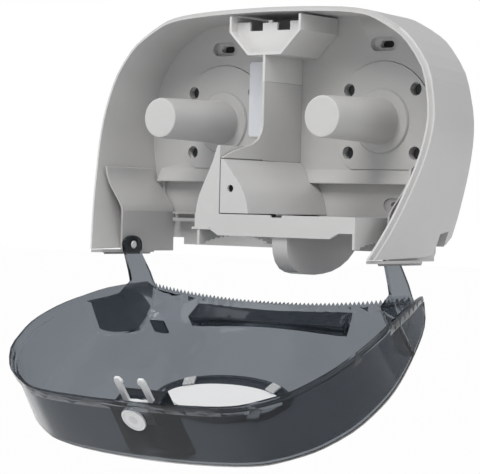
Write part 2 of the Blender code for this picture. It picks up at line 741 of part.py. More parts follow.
# Centre column: thin upright wall, its nose running forward over the divider hood

def center_column():
    sides = (-COLUMN_HALF, COLUMN_HALF)
    low = HOOD_TOP + GAP
    column = as_object("center_column", block(sides, (-COLUMN_FRONT, -PLATE - GAP), (low, COLUMN_SEAM - GAP)))
    tip = -HOOD_FRONT + GAP
    nose = [(tip + (HOOD_FRONT - COLUMN_FRONT) * sy, low + COLUMN_HALF + NOSE_RISE * sz) for sy, sz in NOSE_SHARES]
    inside = -COLUMN_FRONT + COLUMN_HALF
    add(column, prism([(inside, low + COLUMN_HALF / 2), (tip, low + COLUMN_HALF / 2), *nose, (inside, nose[-1][1])], "X", *sides))
    return tidy(column, GREY_ABS)


def latch_bracket():
    """Tapered box at the top that the latch fork snaps into, with the upper end of the column."""
    def outline(inset, top):
        return ((-LATCH_HALF + inset, top), (-LATCH_HALF + inset, LATCH_SHOULDER + inset / 2),
                (-LATCH_FLOOR_HALF + inset / 2, LATCH_FLOOR + inset), (LATCH_FLOOR_HALF - inset / 2, LATCH_FLOOR + inset),
                (LATCH_HALF - inset, LATCH_SHOULDER + inset / 2), (LATCH_HALF - inset, top))
    bracket = as_object("latch_bracket", prism(outline(0.0, LATCH_TOP), "Y", -PLATE - GAP, -LATCH_FRONT))
    add(bracket, block((-COLUMN_HALF, COLUMN_HALF), (-COLUMN_FRONT, -PLATE - GAP), (COLUMN_SEAM, LATCH_FLOOR + LATCH_WALL)))
    face = -LATCH_FRONT + LATCH_RECESS
    rear = face + LATCH_WALL
    cut(bracket, prism(outline(LATCH_BORDER, LATCH_TOP + OVERRUN), "Y", face, -LATCH_FRONT - OVERRUN))
    cut(bracket, prism(outline(LATCH_BORDER + GAP, LATCH_TOP + OVERRUN), "Y", -PLATE - LATCH_WALL, rear))
    cut(bracket, block((-LATCH_HALF + LATCH_BORDER, LATCH_HALF - LATCH_BORDER), (face - GAP, rear + GAP),
                       (LATCH_FACE_TOP, LATCH_TOP + OVERRUN)))
    slots = [block(sorted((side * SLOT_NEAR, side * SLOT_FAR)), (face - GAP, rear + GAP), (SLOT_SILL, LATCH_TOP))
             for side in (-1, 1)]
    slots.append(block((-SLOT_NEAR - GAP, SLOT_NEAR + GAP), (face - GAP, rear + GAP), (TONGUE_TOP, LATCH_TOP)))
    for slot in slots:
        cut(bracket, slot)
    add(bracket, block((-NUB_HALF, NUB_HALF), (face + GAP, rear - GAP), (TONGUE_TOP - GAP, NUB_TOP)))
    return tidy(bracket, GREY_ABS)


# Divider hood: right half of a bell-shaped tunnel, closed in front

def divider_hood():
    outer = bell(BELL_SHARES, HOOD_TOP, HOOD_LOW, HOOD_HALF)
    shape = [(-COLUMN_HALF, HOOD_TOP), *outer, (-COLUMN_HALF, HOOD_LOW)]
    hood = as_object("divider_hood", prism(shape, "Y", -PLATE + PANEL_DROP - GAP, -HOOD_FRONT))
    inner = bell(BELL_SHARES, HOOD_TOP, HOOD_LOW, HOOD_HALF, HOOD_WALL)
    inner = [(x, z) for x, z in inner if x > COLUMN_HALF]
    hollow = [(COLUMN_HALF, inner[0][1]), *inner, (inner[-1][0], HOOD_LOW - OVERRUN), (COLUMN_HALF, HOOD_LOW - OVERRUN)]
    cut(hood, prism(hollow, "Y", -PLATE + OVERRUN, -HOOD_FRONT + HOOD_WALL))
    cut(hood, disc(HOOD_HOLE, HOOD_HOLE_X, HOOD_HOLE_Z, (-HOOD_FRONT - OVERRUN, -HOOD_FRONT + OVERRUN), HOLE_SIDES // 2))
    # above the ledge the plate stands further forward
    cut(hood, block((-HOOD_HALF, HOOD_HALF * 2), (-PLATE - GAP, OVERRUN), (LEDGE_LOW - RUN, HOOD_TOP + OVERRUN)))
    # the ledge passes under the hood
    cut(hood, prism(ledge_outline(RUN), "X", -HOOD_HALF, HOOD_HALF * 2))
    return tidy(hood, GREY_ABS)


# Guide rail: channel along the lower plate that the shutter's rear edge runs in

def guide_rail():
    middle = DOOR_FLOOR - DOOR_WALL / 2
    wall = -PLATE + PANEL_DROP - GAP
    front = wall - RAIL_DEEP
    half_slot = DOOR_WALL / 2 + RUN
    outline = ((wall, middle - RAIL_HIGH / 2), (front, middle - RAIL_HIGH / 2), (front, middle - half_slot),
               (front + RAIL_GROOVE, middle - half_slot), (front + RAIL_GROOVE, middle + half_slot),
               (front, middle + half_slot), (front, HOOD_LOW - RUN), (wall, HOOD_LOW - RUN))
    rail = as_object("guide_rail", prism(outline, "X", -RAIL_HALF, RAIL_HALF))
    return tidy(rail, GREY_ABS)


def detent_spring(side):
    """Bowed leaf in the rail groove that holds the shutter at one end of its slide."""
    name = "detent_spring_right" if side > 0 else "detent_spring_left"
    wall = -PLATE + PANEL_DROP - GAP - RAIL_DEEP + RAIL_GROOVE - GAP
    middle = DOOR_FLOOR - DOOR_WALL / 2
    centre = side * SPINDLE_SPACING / 2
    steps = 8
    front = []
    for k in range(steps + 1):
        share = k / steps
        bow = SPRING_RISE * math.sin(math.pi * share)
        front.append((centre + SPRING_LENGTH * (share - 0.5), wall - bow))
    rear = [(x, y - SPRING_THICK) for x, y in reversed(front)]
    leaf = prism(front + rear, "Z", middle - DOOR_WALL / 2, middle + DOOR_WALL / 2)
    return tidy(as_object(name, leaf), STEEL)


# Selector shutter: sliding tray with a front bar, toothed end walls and half-bell barrier

def end_wall_outline():
    """End wall in (y, z): notched for the guide rail, arched lower edge with teeth."""
    front = -DOOR_FRONT
    back = -DOOR_BACK
    rail_front = -PLATE + PANEL_DROP - GAP - RAIL_DEEP - RAIL_CLEAR
    rail_low = DOOR_FLOOR - DOOR_WALL / 2 - RAIL_HIGH / 2 - RAIL_CLEAR
    span = front + END_FOOT - (back - END_FOOT)
    low = []
    for k in range(END_TEETH + 1):
        share = k / END_TEETH
        rise = END_ARCH * math.sin(math.pi * share) ** END_ARCH_SHARE if 0 < share < 1 else 0.0
        tooth = END_TOOTH / 2 if k % 2 else 0.0
        low.append((front + END_FOOT - span * share, END_LOW + rise + tooth))
    return [(front, DOOR_TOP), (front, END_LOW), *low, (back, END_LOW), (back, rail_low), (rail_front, rail_low),
            (rail_front, DOOR_TOP)]


def bar_outline():
    """Front bar in (x, z): raised lower edge near both ends, half-round notch above."""
    left, right = DOOR_LEFT, DOOR_RIGHT
    points = [(left, DOOR_TOP), (left, BAR_RAISED), (left + BAR_RAISED_RUN, BAR_RAISED),
              (left + BAR_RAISED_RUN + BAR_CHAMFER, BAR_LOW), (right - BAR_RAISED_RUN - BAR_CHAMFER, BAR_LOW),
              (right - BAR_RAISED_RUN, BAR_RAISED), (right, BAR_RAISED), (right, DOOR_TOP)]
    turns = 8
    reach = math.acos(NOTCH_LIFT / NOTCH_RADIUS)
    for k in range(turns + 1):
        angle = reach - 2 * reach * k / turns
        points.append((NOTCH_X + NOTCH_RADIUS * math.sin(angle), DOOR_TOP + NOTCH_LIFT - NOTCH_RADIUS * math.cos(angle)))
    return points


def barrier_outline(inset):
    """Half-bell barrier in (x, z), straight on the right, swelling to the left."""
    curve = bell(BARRIER_SHARES, BARRIER_TOP, DOOR_FLOOR, BARRIER_HALF, inset)
    return [(BARRIER_RIGHT - x, z) for x, z in curve]


def selector_shutter():
    rear = -PLATE + PANEL_DROP - RAIL_DEEP + RAIL_GROOVE / 2
    door = as_object("selector_shutter", block((DOOR_LEFT, DOOR_RIGHT), (-DOOR_FRONT, rear), (DOOR_FLOOR - DOOR_WALL, DOOR_FLOOR)))
    add(door, prism(bar_outline(), "Y", -DOOR_FRONT, -DOOR_FRONT + DOOR_WALL))
    for start in (DOOR_LEFT + DOOR_OVERHANG, DOOR_RIGHT - DOOR_WALL):
        add(door, prism(end_wall_outline(), "X", start, start + DOOR_WALL))
    outer = barrier_outline(0.0)
    shape = [(BARRIER_RIGHT, BARRIER_TOP), *outer, (outer[-1][0], DOOR_FLOOR - DOOR_WALL / 2),
             (BARRIER_RIGHT, DOOR_FLOOR - DOOR_WALL / 2)]
    add(door, prism(shape, "Y", -DOOR_FRONT, -BARRIER_BACK))
    inner = [(x, z) for x, z in barrier_outline(DOOR_WALL) if x < BARRIER_RIGHT - DOOR_WALL]
    edge = BARRIER_RIGHT - DOOR_WALL
    hollow = [(edge, inner[0][1]), *inner, (inner[-1][0], DOOR_FLOOR - OVERRUN), (edge, DOOR_FLOOR - OVERRUN)]
    cut(door, prism(hollow, "Y", -DOOR_FRONT + DOOR_WALL, -BARRIER_BACK - DOOR_WALL))
    add(door, block((DOOR_LEFT - FLANGE_TIP, DOOR_LEFT + BAR_RAISED_RUN), (-DOOR_FRONT - FLANGE_PROUD, -DOOR_FRONT + DOOR_WALL / 2),
                    (FLANGE_TOP - FLANGE_HIGH, FLANGE_TOP)))
    return tidy(door, GREY_ABS)


def selector_handle():
    """Rounded grip fin under the shutter, stepped at the back to clear the rail."""
    top = DOOR_FLOOR - DOOR_WALL - GAP
    length = HANDLE_FRONT - HANDLE_BACK
    drop = top - HANDLE_LOW
    outline = [(-HANDLE_FRONT + length * sy, top - drop * sz) for sy, sz in HANDLE_SHARES]
    rail_front = -PLATE + PANEL_DROP - RAIL_DEEP - RAIL_CLEAR * 2
    rail_low = DOOR_FLOOR - DOOR_WALL / 2 - RAIL_HIGH / 2 - RAIL_CLEAR * 2
    outline += [(-HANDLE_BACK, rail_low), (rail_front, rail_low), (rail_front, top)]
    grip = as_object("selector_handle", prism(outline, "X", HANDLE_LEFT, HANDLE_LEFT + HANDLE_WIDE))
    return tidy(grip, INSERT_ABS)


# Hinge inserts: waved guide wall, lobe bottom and toothed lower edge

def side_inner(z):
    """Inner half width of the arched wall at the plate for a height on the lower side."""
    half = [(px + nx * (LIP_STEP - draft(nx, nz) - SHELL_WALL), pz) for px, pz, _, nx, nz in RIM if px > 0]
    for (ax, az), (bx, bz) in zip(half, half[1:]):
        if min(az, bz) <= z <= max(az, bz) and az != bz:
            return ax + (bx - ax) * (z - az) / (bz - az)
    return half[-1][0]


def housing_space():
    """Space inside the arched wall, a seat's gap away from it and open below."""
    front = []
    back = []
    for x, z, y, nx, nz in RIM:
        lip = LIP_THICK + GAP
        out = LIP_STEP - draft(nx, nz) - SHELL_WALL - GAP
        front.append((x - nx * lip, y - OVERRUN, z - nz * lip))
        back.append((x + nx * out, 0.0, z + nz * out))
    for ring in (front, back):
        for end in (0, len(ring) + 1):
            x, y, z = ring[min(end, len(ring) - 1)]
            ring.insert(end, (x, y, z - OVERRUN))
    return grid_body([front, back])


def hinge_insert(side):
    name = "hinge_insert_right" if side > 0 else "hinge_insert_left"
    reach = side_inner(INSERT_TOP) - INSERT_WALL - RUN - INSERT_INNER
    drop = INSERT_TOP - INSERT_SHOULDER
    wave = [(INSERT_INNER + reach * sx, INSERT_TOP - drop * sz) for sx, sz in smooth_line(WAVE_SHARES, 2)]
    outer = [(x + INSERT_WALL, z + INSERT_WALL / 3) for x, z in wave]
    foot = RIM_LOW - GAP - INSERT_PLATE / 2
    shape = [*wave, (INSERT_INNER, foot), (INSERT_INNER + INSERT_WALL, foot), *reversed(outer)]
    insert = as_object(name, prism(shape, "Y", -PLATE - GAP, -INSERT_FRONT))
    cut(insert, block((0.0, RIM_HALF_WIDTH + OVERRUN), (-PLATE - LEDGE_REACH - RUN, OVERRUN),
                      (LEDGE_LOW - RUN, INSERT_TOP + OVERRUN)))
    keep(insert, housing_space())
    front = -(RIM_DEPTH + RIM_SWEEP)
    under = RIM_LOW - GAP
    x_front = RIM[-1][0] + LIP_STEP
    x_lip = RIM[-1][0] - LIP_THICK / 2
    plan = ((INSERT_INNER, -INSERT_TEETH_NEAR), (INSERT_INNER, front * INSERT_STEP_SHARE), (INSERT_INNER + INSERT_CORNER, front),
            (x_lip, front), (x_lip, front * INSERT_STEP_SHARE), (x_front, front * INSERT_EDGE_SHARE),
            (x_front - SIDE_DRAFT / 3, -INSERT_TEETH_NEAR))
    add(insert, prism(plan, "Z", under - INSERT_PLATE, under))
    tooth_far = INSERT_TEETH_NEAR + INSERT_TEETH * INSERT_TOOTH_PITCH
    edge = [(-tooth_far, under - INSERT_PLATE / 2)]
    for k in range(INSERT_TEETH):
        y = -tooth_far + k * INSERT_TOOTH_PITCH
        edge += [(y, under - INSERT_PLATE), (y + INSERT_TOOTH_PITCH / 2, under - INSERT_PLATE - INSERT_TOOTH)]
    edge += [(-INSERT_TEETH_NEAR, under - INSERT_PLATE), (-INSERT_TEETH_NEAR, under - INSERT_PLATE / 2)]
    strip_x = x_front - SIDE_DRAFT / 3 - INSERT_TEETH_WIDE
    teeth = prism(edge, "X", strip_x, strip_x + INSERT_TEETH_WIDE)
    add(insert, teeth)
    bore = swap_axis(disc(PIN_RADIUS + GAP, 0.0, 0.0, (-OVERRUN, OVERRUN)), (0, 0, 0), (0, 1, 0), (1, 0, 0))
    bmesh.ops.translate(bore, verts=bore.verts, vec=(INSERT_INNER, HINGE_Y, HINGE_Z))
    cut(insert, bore)
    if side < 0:
        mirror_object(insert)
    return tidy(insert, INSERT_ABS)


def mirror_object(target):
    """Turn an object into its mirror image in X = 0."""
    for vertex in target.data.vertices:
        vertex.co.x = -vertex.co.x
    target.data.flip_normals()


def hinge_pin(side):
    name = "hinge_pin_right" if side > 0 else "hinge_pin_left"
    start = ARM_INNER - GAP - PIN_HEAD_THICK
    stop = INSERT_INNER + INSERT_WALL
    profile = ((0, start), (PIN_HEAD * 0.85, start), (PIN_HEAD, start + PIN_HEAD_THICK / 2),
               (PIN_HEAD, start + PIN_HEAD_THICK), (PIN_RADIUS, start + PIN_HEAD_THICK), (PIN_RADIUS, stop), (0, stop))
    pin = swap_axis(turned(profile, 0.0, 0.0, HOLE_SIDES // 2 + 2), (0, 0, 0), (0, 1, 0), (1, 0, 0))
    bmesh.ops.translate(pin, verts=pin.verts, vec=(0.0, HINGE_Y, HINGE_Z))
    made = as_object(name, pin)
    if side < 0:
        mirror_object(made)
    return tidy(made, WHITE_ACETAL)


def instruction_label():
    y = -PLATE + FLANGE_RECESS - GAP - FLANGE_THICK - GAP
    edge = LABEL_ROUND
    outline = ((LABEL_LEFT + edge, LABEL_LOW), (LABEL_RIGHT - edge, LABEL_LOW), (LABEL_RIGHT, LABEL_LOW + edge),
               (LABEL_RIGHT, LABEL_TOP - edge), (LABEL_RIGHT - edge, LABEL_TOP), (LABEL_LEFT + edge, LABEL_TOP),
               (LABEL_LEFT, LABEL_TOP - edge), (LABEL_LEFT, LABEL_LOW + edge))
    return tidy(as_object("instruction_label", prism(outline, "Y", y, y - LABEL_THICK)), PAPER)


# Cover: tinted bowl, modelled shut and swung open with its hinge axis

def along_tear(x):
    """Share of the tear edge's bow reached at a distance from the middle."""
    return min(abs(x) / TEAR_HALF, 1.0) ** TEAR_CURVE


def tear_height(x):
    return TEAR_HIGH - TEAR_SAG * along_tear(x)


def panel_depth(x, z):
    """Y of the front panel, crowned, falling back at its top and curled in to the tear edge."""
    across = min(abs(x) / RIM_HALF_WIDTH, 1.0) ** 2
    upward = (max(z, 0.0) / RIM_TOP) ** 2
    main = -COVER_DEPTH + COVER_CROWN * across + COVER_FALL * upward
    tear = -TEAR_DEPTH + TEAR_BOW * along_tear(x)
    share = min(max(0.0, (COVER_CURL_TOP - z) / (COVER_CURL_TOP - tear_height(x))), 1.0)
    power = CURL_MIDDLE + CURL_SIDES * min(abs(x) / TEAR_HALF, 1.0) ** 2
    return main + (tear - main) * share ** power


def edge_gap(z):
    """Gap between cover edge and housing shoulder, wider at the bottom."""
    share = max(0.0, (COVER_RELIEF_TOP - z) / (COVER_RELIEF_TOP - RIM_LOW))
    return COVER_EDGE + COVER_RELIEF * share


def band_length(z):
    """Length of the cover's rim band, running out towards the lower corners."""
    share = min(max(0.0, (z - RIM_LOW) / (BAND_FULL - RIM_LOW)), 1.0)
    return BAND_LEAST + (COVER_BAND - BAND_LEAST) * share


def cover_volume(inset, back_run=0.0, under=0.0):
    """Solid inside one skin of the cover; inset moves the skin inwards, under opens it downwards."""
    edge = []
    band = []
    wall = []
    for x, z, y, nx, nz in RIM:
        out = LIP_STEP - inset
        rim = y + LIP_LENGTH - edge_gap(z)
        length = band_length(z)
        low = rim - length + inset
        edge.append((x + nx * out, rim + COVER_BACK + back_run, z + nz * out))
        band.append((x + nx * out, low, z + nz * out))
        wall.append((x + nx * (out - COVER_STEP), low - length * BAND_SLOPE, z + nz * (out - COVER_STEP)))
    rings = [edge, band]
    for share in RING_SHARES:
        rise = (1 - share ** COVER_SQUARE) ** (1 / COVER_SQUARE)
        ring = []
        for x, y, z in wall:
            px = x * share * (1 + SPREAD_SIDE * rise)
            pz = COVER_BASE + (z - COVER_BASE) * share * (1 + SPREAD_TOP * rise)
            front = min(panel_depth(px, pz) + inset, y)
            ring.append((px, y + (front - y) * rise, pz))
        rings.append(ring)
    body = bmesh.new()
    rows = []
    for ring in rings:
        lowered = [(x, y, z - under) if i in (0, len(ring) - 1) else (x, y, z) for i, (x, y, z) in enumerate(ring)]
        rows.append([body.verts.new(point) for point in lowered])
    for near, far in zip(rows, rows[1:]):
        for i in range(len(near) - 1):
            body.faces.new((near[i], near[i + 1], far[i + 1], far[i]))
        body.faces.new((near[0], near[-1], far[-1], far[0]))
    crown = body.verts.new((0.0, panel_depth(0.0, COVER_BASE) + inset, COVER_BASE - under))
    for a, b in zip(rows[-1], rows[-1][1:]):
        body.faces.new((a, b, crown))
    body.faces.new((rows[-1][0], rows[-1][-1], crown))
    # back face, bridged from side to side
    back = rows[0]
    count = len(back)
    for i in range(count // 2 - 1):
        body.faces.new((back[i], back[i + 1], back[count - 2 - i], back[count - 1 - i]))
    body.faces.new((back[count // 2 - 1], back[count // 2], back[count // 2 + 1]))
    return body


def edge_trim():
    """Everything behind the cover's edge, in (y, z)."""
    half = [(y + LIP_LENGTH - edge_gap(z), z + nz * LIP_STEP) for x, z, y, nx, nz in RIM if x > 0][::-1]
    low = (half[0][0] - OVERRUN / 2, half[0][1] - OVERRUN)
    high = (half[-1][0], half[-1][1] + OVERRUN)
    return [low, *half, high, (OVERRUN, high[1]), (OVERRUN, low[1])]


def cover_shell(parent):
    shell = as_object("cover_shell", cover_volume(0.0))
    cut(shell, cover_volume(COVER_WALL, OVERRUN, COVER_UNDER))
    wide = RIM_HALF_WIDTH + OVERRUN * 2
    cut(shell, prism(edge_trim(), "X", -wide, wide))
    foot = RIM_LOW - COVER_FOOT
    base = COVER_BASE - OVERRUN * 2
    steps = range(-TEAR_STEPS, TEAR_STEPS + 1)
    curve = [(TEAR_HALF * k / TEAR_STEPS, tear_height(TEAR_HALF * k / TEAR_STEPS)) for k in steps]
    corner = TEAR_HALF + TEAR_CORNER
    below = [(-wide, base), (-wide, foot), (-corner, foot), *curve, (corner, foot), (wide, foot), (wide, base)]
    cut(shell, prism(below, "Y", OVERRUN, -COVER_DEPTH - OVERRUN))
    add_tear_edge(shell)
    for side in (-1, 1):
        add_arm(shell, side)
    hole = swap_axis(disc(BUTTON_RADIUS + RUN, 0.0, 0.0, (-OVERRUN * 2, OVERRUN * 2), ROUND_SIDES), (0, 0, 0), (0, 1, 0), (0, 0, 1))
    bmesh.ops.translate(hole, verts=hole.verts, vec=(0.0, BUTTON_Y, RIM_TOP))
    cut(shell, hole)
    cut(shell, prism(oval(GAP), "Y", -COVER_DEPTH + OVERRUN, -COVER_DEPTH - OVERRUN))
    return tidy(shell, SMOKE, parent, flat=FLAT / 4)


def oval(grow, wide=DISC_WIDE, high=DISC_HIGH):
    """Oval outline of the badge in (x, z), grown all round."""
    turns = [math.tau * k / OVAL_SIDES for k in range(OVAL_SIDES)]
    return [((wide + grow) * math.cos(t), BADGE_Z + (high + grow) * math.sin(t)) for t in turns]


def add_tear_edge(shell):
    """Band of fine teeth along the lower edge of the front panel."""
    sections = []
    count = TEAR_TEETH * 2
    for k in range(count + 1):
        x = TEAR_HALF * (2 * k / count - 1)
        low = tear_height(x)
        y_high = panel_depth(x, low + TEAR_BAND) + GAP
        y_low = panel_depth(x, low) + GAP
        tooth = TEAR_TOOTH if k % 2 else 0.0
        y_tip = y_low + (y_low - y_high) * tooth / TEAR_BAND
        thick = COVER_WALL - GAP * 2
        sections.append(((x, y_high, low + TEAR_BAND), (x, y_tip, low - tooth), (x, y_tip + thick, low - tooth),
                         (x, y_high + thick, low + TEAR_BAND)))
    add(shell, grid_body(sections))


def arm_outline():
    """Hinge arm in (y, z): oval head, lower edge to the tear edge's end, upper edge to the guide wall."""
    turn = Matrix.Rotation(-OPEN_ANGLE, 2)
    points = []
    for k in range(ARM_TURNS + 1):
        angle = ARM_HEAD_START - ARM_HEAD_SWEEP * k / ARM_TURNS
        spot = turn @ Vector((ARM_HEAD_LONG * math.cos(angle), ARM_HEAD_HIGH * math.sin(angle)))
        points.append((HINGE_Y + spot.x, HINGE_Z + spot.y))
    front = -COVER_DEPTH
    reach = front - HINGE_Y
    rise = GUIDE_REAR_LOW - HINGE_Z
    points += [(HINGE_Y + reach * sy, HINGE_Z + rise * sz) for sy, sz in ARM_LOWER_SHARES]
    points += [(front, tear_height(TEAR_HALF)), (front, GUIDE_REAR_LOW)]
    points += [(HINGE_Y + reach * sy, HINGE_Z + rise * sz) for sy, sz in ARM_UPPER_SHARES]
    return points


def guide_outline():
    """Guide wall of the cover in (x, z): upright beside the arm, then out to the side wall."""
    rise = GUIDE_HEAD - GUIDE_FOOT
    reach = RIM_HALF_WIDTH + OVERRUN - ARM_INNER - GAP
    inner = [(ARM_INNER + GAP, RIM_LOW)]
    inner += [(ARM_INNER + GAP + reach * sx, GUIDE_FOOT + rise * sz) for sx, sz in smooth_line(GUIDE_SHARES, 2)]
    outer = []
    for i, (x, z) in enumerate(inner):
        before = inner[max(i - 1, 0)]
        after = inner[min(i + 1, len(inner) - 1)]
        along = Vector((after[0] - before[0], after[1] - before[1])).normalized()
        outer.append((x + along.y * GUIDE_WALL, z - along.x * GUIDE_WALL))
    return inner + outer[::-1]


def add_arm(shell, side):
    """Hinge arm and guide wall, kept inside the outer skin."""
    span = (ARM_INNER, ARM_INNER + ARM_THICK)
    arm = as_object("arm", prism(arm_outline(), "X", *span))
    behind = -TEAR_DEPTH + TEAR_BOW + COVER_WALL * 2
    limit = as_object("limit", cover_volume(COVER_WALL / 2))
    add(limit, block((0.0, RIM_HALF_WIDTH), (HINGE_Y + OVERRUN * 2, behind), (HINGE_Z - OVERRUN * 2, GUIDE_REAR_LOW + GAP)))
    keep(arm, body_of(limit))
    bore = swap_axis(disc(PIN_RADIUS + GAP, 0.0, 0.0, (-OVERRUN, OVERRUN)), (0, 0, 0), (0, 1, 0), (1, 0, 0))
    bmesh.ops.translate(bore, verts=bore.verts, vec=(ARM_INNER, HINGE_Y, HINGE_Z))
    cut(arm, bore)
    guide = as_object("guide", prism(guide_outline(), "Y", -RIM_DEPTH, -COVER_DEPTH))
    rear = [(-(RIM_DEPTH + RIM_SWEEP * sy), RIM_LOW + (RIM_TOP - RIM_LOW) * sz) for sy, sz in GUIDE_REAR_SHARES]
    trim = [*rear, (OVERRUN, rear[-1][1]), (OVERRUN, rear[0][1])]
    cut(guide, prism(trim, "X", 0.0, RIM_HALF_WIDTH + OVERRUN * 3))
    keep(guide, cover_volume(COVER_WALL / 2))
    for piece in (arm, guide):
        if side < 0:
            mirror_object(piece)
        add(shell, body_of(piece))


def body_of(piece):
    """Body of an object that is no longer needed."""
    body = bmesh.new()
    body.from_mesh(piece.data)
    bpy.data.objects.remove(piece, do_unlink=True)
    return body


def roof_height(y):
    """Height of the cover's outer skin on its middle line at a given depth."""
    top = RIM_TOP + LIP_STEP - COVER_STEP
    y_edge = -RIM_DEPTH + LIP_LENGTH - edge_gap(RIM_TOP) - COVER_BAND * (1 + BAND_SLOPE)
    rise = (y - y_edge) / (-COVER_DEPTH + COVER_FALL - y_edge)
    share = (1 - rise ** COVER_SQUARE) ** (1 / COVER_SQUARE)
    return COVER_BASE + (top - COVER_BASE) * share * (1 + SPREAD_TOP * rise)


def inner_space():
    """Space inside the cover, a seat's gap away from its skin."""
    return cover_volume(COVER_WALL + GAP)


def cover_trough(parent):
    """Open tray stiffening the panel above the tear edge."""
    sides = (-TROUGH_HALF, TROUGH_HALF)
    trough = as_object("cover_trough", block(sides, (-COVER_DEPTH, -TROUGH_REAR), (TROUGH_LOW, TROUGH_HIGH)))
    keep(trough, inner_space())
    inside = (-TROUGH_HALF + TROUGH_WALL, TROUGH_HALF - TROUGH_WALL)
    floor = -TROUGH_REAR - TROUGH_DEEP + TROUGH_WALL
    pocket = as_object("pocket", block(inside, (floor, OVERRUN - TROUGH_REAR), (TROUGH_LOW + TROUGH_WALL, TROUGH_HIGH - TROUGH_WALL)))
    keep(pocket, cover_volume(COVER_WALL + GAP + TROUGH_WALL))
    cut(trough, body_of(pocket))
    return tidy(trough, DARK_SMOKE, parent)


def cover_tab(parent):
    """Small upright tab on the inside of the panel."""
    tab = as_object("cover_tab", block((TAB_LEFT, TAB_RIGHT), (-COVER_DEPTH, -TAB_REAR), (TAB_LOW, TAB_LOW + TAB_THICK)))
    keep(tab, inner_space())
    return tidy(tab, DARK_SMOKE, parent)


def badge_parts(parent):
    """Oval badge: beaded frame on the panel's inside, blank plate through the panel, four clips."""
    inside = panel_depth(0.0, BADGE_Z) + COVER_WALL
    rear = inside + BADGE_RISE
    ring = as_object("badge_ring", prism(oval(0.0, BADGE_WIDE, BADGE_HIGH), "Y", rear, -COVER_DEPTH))
    keep(ring, inner_space())
    cut(ring, prism(oval(-BADGE_BEAD, BADGE_WIDE, BADGE_HIGH), "Y", rear + OVERRUN, rear - BADGE_FLOOR))
    cut(ring, prism(oval(GAP), "Y", rear + OVERRUN, -COVER_DEPTH - OVERRUN))
    tidy(ring, DARK_SMOKE, parent)
    plate = prism(oval(0.0), "Y", rear - DISC_SINK, -COVER_DEPTH - BADGE_PROUD)
    tidy(as_object("badge_disc", plate), WHITE_ACETAL, parent)
    for k, share in enumerate(CLIP_ANGLES_SHARES):
        angle = math.tau * share
        x = (BADGE_WIDE - BADGE_BEAD) * math.cos(angle)
        z = BADGE_Z + (BADGE_HIGH - BADGE_BEAD) * math.sin(angle)
        inward = math.atan2(-math.sin(angle) * BADGE_WIDE, -math.cos(angle) * BADGE_HIGH)
        clip = block((-BADGE_BEAD / 2, CLIP_LONG), (rear + GAP, rear + GAP + CLIP_THICK), (-CLIP_WIDE / 2, CLIP_WIDE / 2))
        turn = Matrix.Translation((x, 0, z)) @ Matrix.Rotation(-inward, 4, "Y")
        bmesh.ops.transform(clip, matrix=turn, verts=clip.verts)
        tidy(as_object(f"badge_clip_{k + 1}", clip), WHITE_ACETAL, parent)


def lock_parts(parent):
    """Open-topped box under the cover's roof that carries fork, button and spring."""
    inside = (-LOCK_HALF + LOCK_WALL, LOCK_HALF - LOCK_WALL)
    above = RIM_TOP + OVERRUN * 2
    box = as_object("lock_housing", block((-LOCK_HALF, LOCK_HALF), (-COVER_DEPTH, LOCK_BACK), (LOCK_LOW, above)))
    keep(box, inner_space())
    cut(box, block(inside, (-COVER_DEPTH + OVERRUN * 2, LOCK_BACK - LOCK_WALL), (LOCK_LOW + LOCK_WALL, above)))
    # mouth for the fork, low enough for it to travel down
    cut(box, block((-FORK_HALF - RUN, FORK_HALF + RUN), (LOCK_BACK - LOCK_WALL * 2, LOCK_BACK + OVERRUN),
                   (FORK_LOW - BUTTON_TRAVEL - RUN, above)))
    tidy(box, DARK_SMOKE, parent)


def latch_fork(parent):
    """Flat fork whose barbed prongs snap behind the bracket's tongue, in (x, y)."""
    tip = FORK_TIP - FORK_BARB
    inner = FORK_NEAR - FORK_BITE
    right = [(FORK_HALF, FORK_BASE), (FORK_HALF, tip), (FORK_HALF - FORK_BARB / 2, FORK_TIP), (FORK_NEAR, FORK_TIP),
             (inner, tip), (inner, FORK_BARB_Y), (FORK_NEAR, FORK_BARB_Y - FORK_BITE), (FORK_NEAR, FORK_ROOT)]
    outline = right + [(-x, y) for x, y in reversed(right)]
    fork = as_object("latch_fork", prism(outline, "Z", FORK_LOW, FORK_LOW + FORK_THICK))
    return tidy(fork, WHITE_ACETAL, parent)


def lock_button(parent):
    top = roof_height(BUTTON_Y) + BUTTON_PROUD
    base = FORK_LOW + FORK_THICK + GAP
    profile = ((0, top - BUTTON_DISH), (BUTTON_RADIUS * 0.70, top - BUTTON_DISH), (BUTTON_RADIUS * 0.76, top),
               (BUTTON_RADIUS - BUTTON_DISH, top), (BUTTON_RADIUS, top - BUTTON_DISH), (BUTTON_RADIUS, base),
               (BUTTON_RADIUS - BUTTON_WALL, base), (BUTTON_RADIUS - BUTTON_WALL, top - BUTTON_WALL), (0, top - BUTTON_WALL))
    body = swap_axis(turned(profile, 0.0, 0.0, ROUND_SIDES), (0, 0, 0), (0, 1, 0), (0, 0, 1))
    bmesh.ops.translate(body, verts=body.verts, vec=(0.0, BUTTON_Y, 0.0))
    return tidy(as_object("lock_button", body), WHITE_ACETAL, parent)


